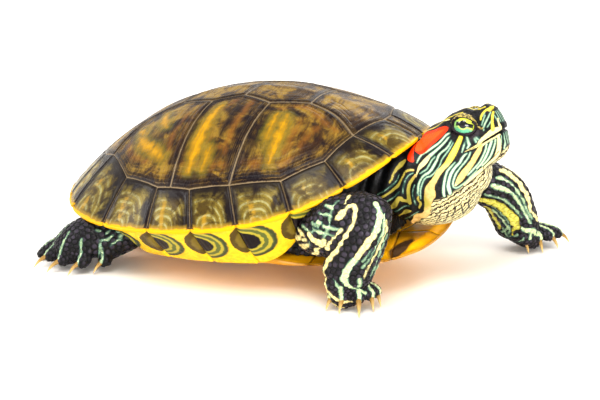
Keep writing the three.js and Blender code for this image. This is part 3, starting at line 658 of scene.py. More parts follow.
def build_plastron(material):
    for name, outline in plastron_outlines():
        for side_name, side in SIDES:
            run = outline if side > 0 else mirrored(outline)
            centre = np.mean(run, axis=0)
            node = f"plastron_{name}_{side_name}"
            piece, plan, on_back = plate(f"horn_{node}", run, centre, plastron_height, plastron_depth,
                                         plastron_relief, rows=30, columns=160, back_rows=10)
            uneven = 1 + 0.22 * ripple(plan, 8, 31) + 0.1 * ripple(plan, 3, 32)
            spot = np.column_stack([plan[:, 0], np.abs(plan[:, 1])])
            blot = np.where(on_back, in_blotch(spot, LIP_BLOTCH), in_blotch(spot, BLOTCHES[name]))
            store(piece, blot=blot / uneven)
            finished(piece, material, [node])


# ------------------------------------------------------------------ flesh
def at(x, y, z, wide, tall, low=None):
    """A station of a soft body: its centre, half its width, and how far it goes up and down."""
    return {"at": (x, y, z), "wide": wide, "tall": tall, "low": tall if low is None else low}


def loft(stations, face=(0, 0, 1), sides=28, steps=7, bulge=0.7, upright=False):
    """Points and faces of a soft body skinned through stations, with rounded ends."""
    line = [station["at"] for station in stations]
    sizes = [(station["wide"], station["tall"], station["low"]) for station in stations]
    count = (len(stations) - 1) * steps
    shares = np.linspace(0, 1, count + 1)
    centres = catmull(line, shares)
    size = catmull(sizes, shares, even=True)
    nudge = 1e-3
    ahead = catmull(line, np.minimum(shares + nudge, 1)) - catmull(line, np.maximum(shares - nudge, 0))
    if upright:
        ahead = np.tile([1.0, 0, 0], (len(shares), 1))
    ahead = unit(ahead)
    turns = np.arange(sides) / sides * 2 * math.pi
    caps = np.radians([80, 62, 42, 21])
    plan = [(0, -turn) for turn in caps] + [(i, 0) for i in range(count + 1)]
    plan += [(count, turn) for turn in caps[::-1]]
    rings = []
    for i, turn in plan:
        across = unit(np.cross(face, ahead[i]))
        up = np.cross(ahead[i], across)
        centre = centres[i] + ahead[i] * math.sin(turn) * min(size[i, :2]) * bulge
        rise = np.sin(turns)
        rings.append(centre + np.outer(np.cos(turns) * size[i, 0] * math.cos(turn), across)
                     + np.outer(rise * np.where(rise > 0, size[i, 1], size[i, 2]) * math.cos(turn), up))
    points = np.vstack(rings)
    faces = grid_faces(len(plan), sides, closed=True)
    return points, faces + end_faces(len(plan), sides)


HEAD_PROFILE = [
    [-2, 3.4, -8, 8.4], [2, 5.8, -11, 11], [7, 8.6, -12.6, 12], [13, 8.9, -13.6, 11.5],
    [18.5, 9.3, -13.9, 9.6], [24, 8.8, -13.6, 6.9], [28, 7.4, -12.8, 5.2], [31, 6.3, -10.6, 4.8],
    [32.7, 5.2, -4.6, 3.6]]
MOUTH = [[19, -4.7], [24, -4.9], [28.5, -4.6], [33, -4.6]]

NECK_BASE = [at(46, 0, 38, 15, 13), at(58, 0, 39, 17.5, 14.5), at(69, 0, 41, 17, 14, 16)]
NECK_FRONT = [at(67, 0, 41, 16.5, 13.5, 17), at(75, 0, 41.5, 16, 14.5, 19),
              at(84, 0, 44, 14, 14.5, 17.5), at(91, 0, 47.5, 10.5, 11)]

LIMBS = {
    "fore_right": {
        "upper": ((0, 0, 1), [at(42, -33, 26, 6, 7), at(50, -38, 27, 8.2, 9.4),
                              at(59, -39, 31, 10, 10.5), at(67, -36, 35, 9, 8.5)]),
        "lower": ((0.5, -0.866, 0), [at(69.5, -36.5, 38, 7.5, 6.5), at(68, -39, 30.5, 9, 7),
                                     at(65.5, -40.5, 21.5, 9.2, 6.3), at(62.5, -41, 13, 8.8, 5.6)]),
        "foot": ((0.4, -0.6, 0.6), [at(62.3, -41, 12.5, 8, 5), at(62.8, -39.6, 7.4, 7.4, 3.9),
                                    at(63.4, -38.2, 3.4, 6.4, 3.2)]),
        "toes": [((66, -35, 7.6), (70.2, -32.6, 5.6), (73.1, -34, 0.6)),
                 ((65.5, -37, 7.8), (69.8, -36.6, 5.8), (72.7, -39.2, 0.6)),
                 ((64, -38.5, 7.8), (67.6, -41.2, 5.8), (71, -47.5, 0.6)),
                 ((61.8, -39.5, 7.4), (62.4, -43, 5.2), (63.2, -47.6, 0.6)),
                 ((60, -40, 7), (58.6, -43, 4.8), (57.6, -46.8, 0.6))],
        "toe": (2.8, 2.6)},
    "fore_left": {
        "upper": ((0, 0, 1), [at(58, 26, 34, 9, 9.5), at(69, 32.5, 34, 9.5, 10), at(80, 39, 30.5, 9, 9)]),
        "lower": ((0, 1, 0.3), [at(82.5, 39.5, 29.5, 9, 8.3), at(89.5, 43, 24.5, 9.8, 7.6),
                                at(92.5, 46, 17, 9.6, 6.6), at(94.5, 48.5, 9.5, 9, 5.6)]),
        "foot": ((0.3, 0.4, 0.85), [at(93.5, 47.5, 9.5, 8.4, 5), at(95.6, 50.8, 6, 7.8, 4),
                                    at(97.2, 53.6, 3.4, 6.8, 3.2)]),
        "toes": [((94.5, 50.5, 6.6), (97.4, 47.4, 4.8), (100.6, 45.8, 0.6)),
                 ((97, 53, 7.2), (102, 51.6, 5.6), (105.2, 49, 0.6)),
                 ((98.5, 56.5, 7.2), (104.9, 56.8, 5.6), (109, 56.8, 0.6)),
                 ((99, 59, 7.2), (106.4, 61.8, 5.4), (111, 65.6, 0.6)),
                 ((97, 59.5, 6.8), (101.2, 65, 5), (103, 69.5, 0.6))],
        "toe": (2.8, 2.6)},
    "hind_right": {
        "upper": ((0, 0, 1), [at(-48, -20, 22, 9, 8.5), at(-38, -31, 22, 10, 9.5), at(-28, -39, 19, 9, 9)]),
        "lower": ((0, 0, 1), [at(-26, -40, 18.5, 8, 8.5), at(-32, -43.5, 14, 8.5, 8.2),
                              at(-38, -47, 10.5, 9, 8)]),
        "foot": ((0, 0, 1), [at(-37, -46.5, 12, 9, 8.5, 8.6), at(-42.5, -49.5, 11.5, 9.6, 8.2, 7.6),
                             at(-47, -52, 9.4, 9.6, 7.6, 7), at(-50.5, -54.5, 6.6, 8.8, 6.4, 5.6)]),
        "toes": [((-52.5, -47.5, 9.5), (-60.5, -52.5, 4.6), (-65, -58, 0.6)),
                 ((-48.5, -51.5, 12), (-54.8, -59.6, 4.8), (-59, -65.2, 0.6)),
                 ((-44.5, -52.5, 12.6), (-47.6, -61, 4.8), (-51.4, -67, 0.6)),
                 ((-40, -51.5, 12), (-39.8, -59.4, 4.8), (-42.4, -65.6, 0.6)),
                 ((-36.5, -49, 10.6), (-33.4, -53.6, 4.6), (-35.6, -58.6, 0.6))],
        "toe": (2.9, 2.8)},
    "hind_left": {
        "upper": ((0, 0, 1), [at(-48, 20, 24, 9, 8.5), at(-41, 31, 24, 10, 9.5), at(-34, 40, 21, 9, 9)]),
        "lower": ((0, 0, 1), [at(-33, 41, 20, 8, 8.5), at(-39, 44.5, 15, 8.5, 8.2), at(-45, 47, 10.5, 9, 8)]),
        "foot": ((0, 0, 1), [at(-44, 46.5, 10.5, 9, 8), at(-50, 50, 8, 10, 6),
                             at(-55, 53.5, 5, 10.4, 4.6), at(-58, 55.5, 2.8, 9.8, 3.2)]),
        "toes": [((-58, 46.5, 6.6), (-64.6, 49.6, 4.2), (-69, 53, 0.6)),
                 ((-57, 49.5, 7.2), (-64.6, 54.4, 4.8), (-69, 59.5, 0.6)),
                 ((-54.5, 51.5, 7.4), (-60.6, 59, 4.8), (-64, 65.5, 0.6)),
                 ((-51, 52, 7.4), (-54, 60, 4.8), (-55, 67, 0.6)),
                 ((-47.5, 51, 7.2), (-47.4, 57.4, 4.8), (-47, 63, 0.6))],
        "toe": (2.9, 2.8)}}
LIMB_NODES = {"fore": ("upper_arm", "forearm", "forefoot"), "hind": ("thigh", "shank", "hindfoot")}
TAIL = [at(-52, 0, 14.5, 6.5, 5.2), at(-60, 0.8, 12.2, 5.2, 4.4), at(-66, 3, 9.4, 4.2, 3.7),
        at(-70.5, 8, 5.6, 3.1, 3), at(-72.5, 16, 2.7, 2, 1.9), at(-71.2, 23, 1.3, 0.9, 0.9)]
CLAW_TIP_HEIGHT = 0.6


def toe_line(toe, shares, lift=0.0):
    """Places along a toe: 0 at its root, 1 at its knuckle and 2 at the tip of its claw."""
    root, knuckle, tip = np.array(toe, dtype=float)
    stops = np.array([2 * root - knuckle, root, knuckle, tip])
    places = np.column_stack([np.interp(shares, [-1, 0, 1, 2], axis) for axis in stops.T])
    return places + np.column_stack([np.zeros((len(places), 2)), np.broadcast_to(lift, len(places))])


def clawed(limb, number):
    """The outer toe of a hind foot has no claw."""
    return limb.startswith("fore") or number > 0


def toe_body(toe, wide, tall, has_claw):
    shares = (-0.25, 0.45, 0.95, 1.14 if has_claw else 1.6)
    sizes = ((1, 1), (1, 1), (0.95, 0.95), (0.72, 0.76) if has_claw else (0.7, 0.55))
    stations = [at(*place, wide * share_wide, tall * share_tall)
                for place, (share_wide, share_tall) in zip(toe_line(toe, shares), sizes)]
    return loft(stations, sides=16, steps=4)


def trunk_body():
    """The flesh between the dome and the plastron, as rings round its upright axis."""
    sides = 72
    turns = np.arange(sides) / sides * 2 * math.pi
    rim = np.array([rim_point(turn if turn < math.pi else 2 * math.pi - turn) for turn in turns])
    rim[:, 1] *= np.where(turns > math.pi, -1, 1)
    reach = np.column_stack([np.full(sides, 0.84), 0.84 - 0.12 * bridge_share(rim[:, 0] * 0.75)])
    rings = []
    for share, face in ((0.3, 0), (0.7, 0), (1, 0), (1, 1), (0.85, 1), (0.6, 1), (0.3, 1)):
        plan = rim * reach * share
        top = dome_height(plan[:, 0], plan[:, 1]) - SCUTE_THICKNESS - 1.6
        bottom = plastron_height(plan[:, 0], plan[:, 1]) + PLASTRON_THICKNESS + 0.8
        rings.append(np.column_stack([plan, top if face else bottom]))
    faces = grid_faces(len(rings), sides, closed=True) + end_faces(len(rings), sides)
    return shell_to_body(np.vstack(rings)), faces


def flesh_bodies():
    """Points and faces of every soft body that the skin covers."""
    stations = [at(along, 0, (crown + under) / 2, wide, (crown - under) / 2)
                for along, crown, under, wide in HEAD_PROFILE]
    points, faces = loft(stations, sides=40, steps=6, bulge=0.35, upright=True)
    yield head_to_body(points), faces
    yield loft(NECK_BASE, sides=40)
    yield loft(NECK_FRONT, sides=40)
    for name, limb in LIMBS.items():
        for part in ("upper", "lower", "foot"):
            face, line = limb[part]
            yield loft(line, face=face)
        for number, toe in enumerate(limb["toes"]):
            yield toe_body(toe, *limb["toe"], clawed(name, number))
    yield loft(TAIL, sides=20)
    yield trunk_body()


def with_modifier(piece, kind, **settings):
    """Applies one modifier to a piece at once."""
    modifier = piece.modifiers.new(kind.lower(), kind)
    for name, value in settings.items():
        setattr(modifier, name, value)
    bpy.context.view_layer.update()
    done = bpy.data.meshes.new_from_object(piece.evaluated_get(bpy.context.evaluated_depsgraph_get()))
    piece.modifiers.clear()
    piece.data = done


def rough_skin():
    """All bodies of flesh in one piece, remeshed as one surface and softened where they meet."""
    skin = new_mesh("skin", *joined(flesh_bodies()))
    with_modifier(skin, "REMESH", mode="VOXEL", voxel_size=SKIN_VOXEL * MM, use_smooth_shade=True)
    with_modifier(skin, "SMOOTH", factor=0.5, iterations=5)
    drop_hidden(skin)
    return skin


# Flesh nearer the shell's axis than this is never seen, as a share of the way out to the rim; nor is
# the flesh nearer than the second share, beside the bridge or close under the dome.
HIDDEN_REACH = 0.66
COVERED_REACH = 0.8
CLOSE_TO_DOME = 4
LOWEST_HIDDEN = 4                           # flesh below this height stays, whatever covers it


def shell_reach(points):
    """How far out points lie from the shell's axis, as a share of the way to its rim."""
    inside = body_to_shell(points)
    return np.hypot(inside[:, 0] / HALF_LENGTH, inside[:, 1] / HALF_WIDTH)


def drop_hidden(skin):
    """Takes away what is closed in by the shell, and levels what stands on the floor."""
    points = points_of(skin)
    inside = body_to_shell(points)
    reach = shell_reach(points)
    roof = dome_height(inside[:, 0], inside[:, 1]) - SCUTE_THICKNESS - inside[:, 2]
    beside_bridge = (inside[:, 0] > -30) & (inside[:, 0] < 24)
    hidden = (reach < HIDDEN_REACH) | (reach < COVERED_REACH) & (beside_bridge | (roof < CLOSE_TO_DOME))
    hidden &= points[:, 2] > LOWEST_HIDDEN
    with editing(skin) as work:
        work.verts.ensure_lookup_table()
        bmesh.ops.delete(work, geom=[work.verts[int(i)] for i in np.nonzero(hidden)[0]], context="VERTS")
    points = points_of(skin)
    points[:, 2] = np.maximum(points[:, 2], 0.0)
    move_to(skin, points)


def finer_head(skin):
    """Splits every face of the head in four, so that lids, lips and fine stripes have room."""
    inside = body_to_head(points_of(skin))
    near = (inside[:, 0] > -2.5) & (inside[:, 2] > -17)
    with editing(skin) as work:
        edges = [edge for edge in work.edges if all(near[vertex.index] for vertex in edge.verts)]
        bmesh.ops.subdivide_edges(work, edges=edges, cuts=1, use_grid_fill=True, smooth=0.6)
    skin.data.shade_smooth()


# ------------------------------------------------------------------ finer shapes of the skin
GAZE = np.array([0.36, 0.90, 0.26])         # outwards, forward and a little up
OPENING = (3.75, 2.45)                      # half the length and height of the opening between the lids
OPENING_DROP = 0.8                          # how far its middle lies under the line of sight


def eye_axes(side):
    """Along the opening towards the snout, up across it, and out of the eye."""
    out = unit(GAZE * [1, side, 1])
    along = np.array([math.cos(EYE_SLANT), 0, -math.sin(EYE_SLANT)])
    along = unit(along - out * (along @ out))
    return along, np.cross(along, out) * side, out


def eye_opening(away, side):
    """1 on the edge of the opening and less inside it, and the height over its middle."""
    on_ball = unit(away) * EYE_RADIUS
    along, up, out = eye_axes(side)
    tall = on_ball @ up + OPENING_DROP
    opening = np.hypot(on_ball @ along / OPENING[0], tall / OPENING[1])
    return np.where(on_ball @ out > 0, opening, 9), tall


def shape_eyelids(head_points, side):
    """Wraps skin round an eyeball: lids stand on it, and what lies behind the opening sinks."""
    centre = EYE_CENTRE * [1, side, 1]
    away = head_points - centre
    radius = np.linalg.norm(away, axis=1)
    opening, tall = eye_opening(away, side)
    near = (radius < 7.5) & (away[:, 1] * side > 0.3)
    upper = ramp(-0.5, 1, tall)
    lid = EYE_RADIUS + 0.45 + 0.25 * upper + 0.25 * bump(opening - 1.12, 0.14)      # thick at its edge
    lid -= 0.2 * bump(opening - 1.42, 0.09) + 0.16 * bump(opening - 1.72, 0.09) * upper     # two creases
    outside = lid + (np.maximum(radius, lid) - lid) * ramp(1.2, 1.9 + 0.3 * upper, opening)
    wanted = np.where(opening < 1, EYE_RADIUS - 0.9, outside)
    scale = np.where(near, wanted / np.maximum(radius, 1e-6), 1)
    return centre + away * scale[:, None]


def shape_head(skin):
    """Raises and sinks the skin of the head by small lifts, then wraps it round the eyes."""
    points = points_of(skin)
    normals = normals_of(skin)
    inside = body_to_head(points)
    along, across, up = inside.T
    on_head = ramp(-1, 3, along) * (np.abs(across) < 14)
    side_view = np.column_stack([along, up])
    mouth_line = catmull(MOUTH, np.linspace(0, 1, 24))
    from_mouth, _ = distance_to_line(side_view, mouth_line)
    above_mouth = up - np.interp(along, mouth_line[:, 0], mouth_line[:, 1])
    lips = -0.75 * bump(from_mouth, 0.4) + 0.15 * bump(above_mouth + 1.3, 0.9)
    lips += 0.4 * ramp(0.1, 0.5, above_mouth) * (1 - ramp(1.6, 3.2, above_mouth))
    brow = bump(np.hypot((along - 22.4) / 4.2, (up - 7.8) / 2.0), 1) * ramp(2.5, 4.5, np.abs(across))
    eardrum = bump(np.hypot(along - 9, up + 1.5), 3.2)
    before_eye = bump(np.hypot((along - 27.5) / 2.4, (up - 2.4) / 2.2), 1)
    lift = lips * ramp(17.5, 20, along) + 0.35 * brow + 0.5 * eardrum - 0.45 * before_eye
    on_crown = ramp(3.5, 6, up) * ramp(6, 3.5, np.abs(across))
    lift += on_crown * (0.55 * bump(along - 31.2, 1.3) - 1.3 * bump(along - 27, 2))
    for side in (1, -1):
        nostril = np.linalg.norm((inside - [32.9, 1.5 * side, 4.0]) / [1, 1, 0.8], axis=1)
        lift -= 1.1 * bump(nostril, 0.5)
        lift += 0.25 * bump(nostril - 0.95, 0.35)
    inside = body_to_head(points + normals * (lift * on_head)[:, None])
    lip_notch = bump(inside[:, 1], 0.6) * ramp(31, 33, inside[:, 0]) * bump(inside[:, 2] + 4.2, 0.8)
    inside[:, 0] -= 0.5 * lip_notch
    for side in (1, -1):
        inside = shape_eyelids(inside, side)
    move_to(skin, head_to_body(inside))


def shape_neck(skin):
    """Loose skin: rings of folds where the neck leaves the shell, and long ones on the throat."""
    points = points_of(skin)
    normals = normals_of(skin)
    x, y, z = points.T
    on_neck = ramp(52, 58, x) * (1 - ramp(79, 86, x - 0.35 * (z - 40))) * (np.hypot(y, (z - 40)) < 26)
    on_neck = on_neck * ramp(-27, -23, -np.abs(y))
    bend = x - 0.25 * (z - 40) + 1.6 * ripple(points, 22, 41)
    folds = np.sin(bend * 2 * math.pi / 5.4) * (1 - 0.75 * ramp(68, 80, x))
    below = ramp(2, -12, z - 44 - 0.45 * (x - 74))
    long_folds = np.sin((y + 1.2 * ripple(points, 14, 42)) * 2 * math.pi / 3.4)
    lift = on_neck * (0.55 * folds + 0.22 * long_folds * below)
    move_to(skin, points + normals * lift[:, None])


# ------------------------------------------------------------------ charts along the limbs
# The axis of the upper and lower part of each limb, and the way that angle 0 of its chart faces.
LIMB_AXES = {
    "fore_right": {"upper": [[38, -38, 26], [48, -40.5, 27], [59, -39, 31], [66, -36, 35]],
                   "lower": [[69.5, -36, 40], [68.5, -39, 30.5], [65.5, -40.5, 21.5], [62.5, -41, 12],
                             [66, -39, 0]],
                   "facing": (0.5, -0.8, 0.3)},
    "fore_left": {"upper": [[58, 26, 34], [69, 32.5, 34], [80, 39, 30.5]],
                  "lower": [[82, 39, 32], [89.5, 43, 24.5], [92.5, 46, 17], [94, 48, 9.5], [105, 59, 3]],
                  "facing": (0.6, -0.5, 0.6)},
    "hind_right": {"upper": [[-48, -20, 22], [-38, -31, 22], [-28, -39, 19]],
                   "lower": [[-24, -38, 20], [-32, -43.5, 14], [-41, -50, 9], [-56, -64, 3]],
                   "facing": (-0.3, -0.8, 0.6)},
    "hind_left": {"upper": [[-48, 20, 24], [-41, 31, 24], [-34, 40, 21]],
                  "lower": [[-31, 39, 22], [-39, 44.5, 15], [-48, 50, 9], [-63, 62, 3]],
                  "facing": (-0.3, 0.8, 0.6)}}


class LimbChart:
    """Places on a limb as millimetres along its axis and degrees round it."""

    def __init__(self, limb, part):
        self.curve = resampled(catmull(LIMB_AXES[limb][part], np.linspace(0, 1, 60)), 80)
        steps = np.linalg.norm(np.diff(self.curve, axis=0), axis=1)
        self.length = np.concatenate([[0], np.cumsum(steps)])
        self.tangent = unit(np.gradient(self.curve, axis=0))
        self.facing = np.array(LIMB_AXES[limb]["facing"])

    def frame_at(self, place):
        """Centre, across and front directions at each place, counted in points of the curve."""
        index = np.arange(len(self.curve))
        centre, ahead = (np.column_stack([np.interp(place, index, values[:, axis]) for axis in range(3)])
                         for values in (self.curve, self.tangent))
        across = unit(np.cross(ahead, self.facing))
        return centre, across, np.cross(across, ahead)

    def read(self, points):
        away, share = distance_to_line(points, self.curve)
        place = share * (len(self.curve) - 1)
        centre, across, front = self.frame_at(place)
        out = points - centre
        angle = np.degrees(np.arctan2((out * across).sum(1), (out * front).sum(1)))
        return np.interp(place, np.arange(len(self.curve)), self.length), angle, away

    def rays(self, along, degrees):
        """Where lines square to the axis start, and the ways they go."""
        centre, across, front = self.frame_at(np.interp(along, self.length, np.arange(len(self.curve))))
        turn = np.radians(degrees)[:, None]
        return centre, front * np.cos(turn) + across * np.sin(turn)


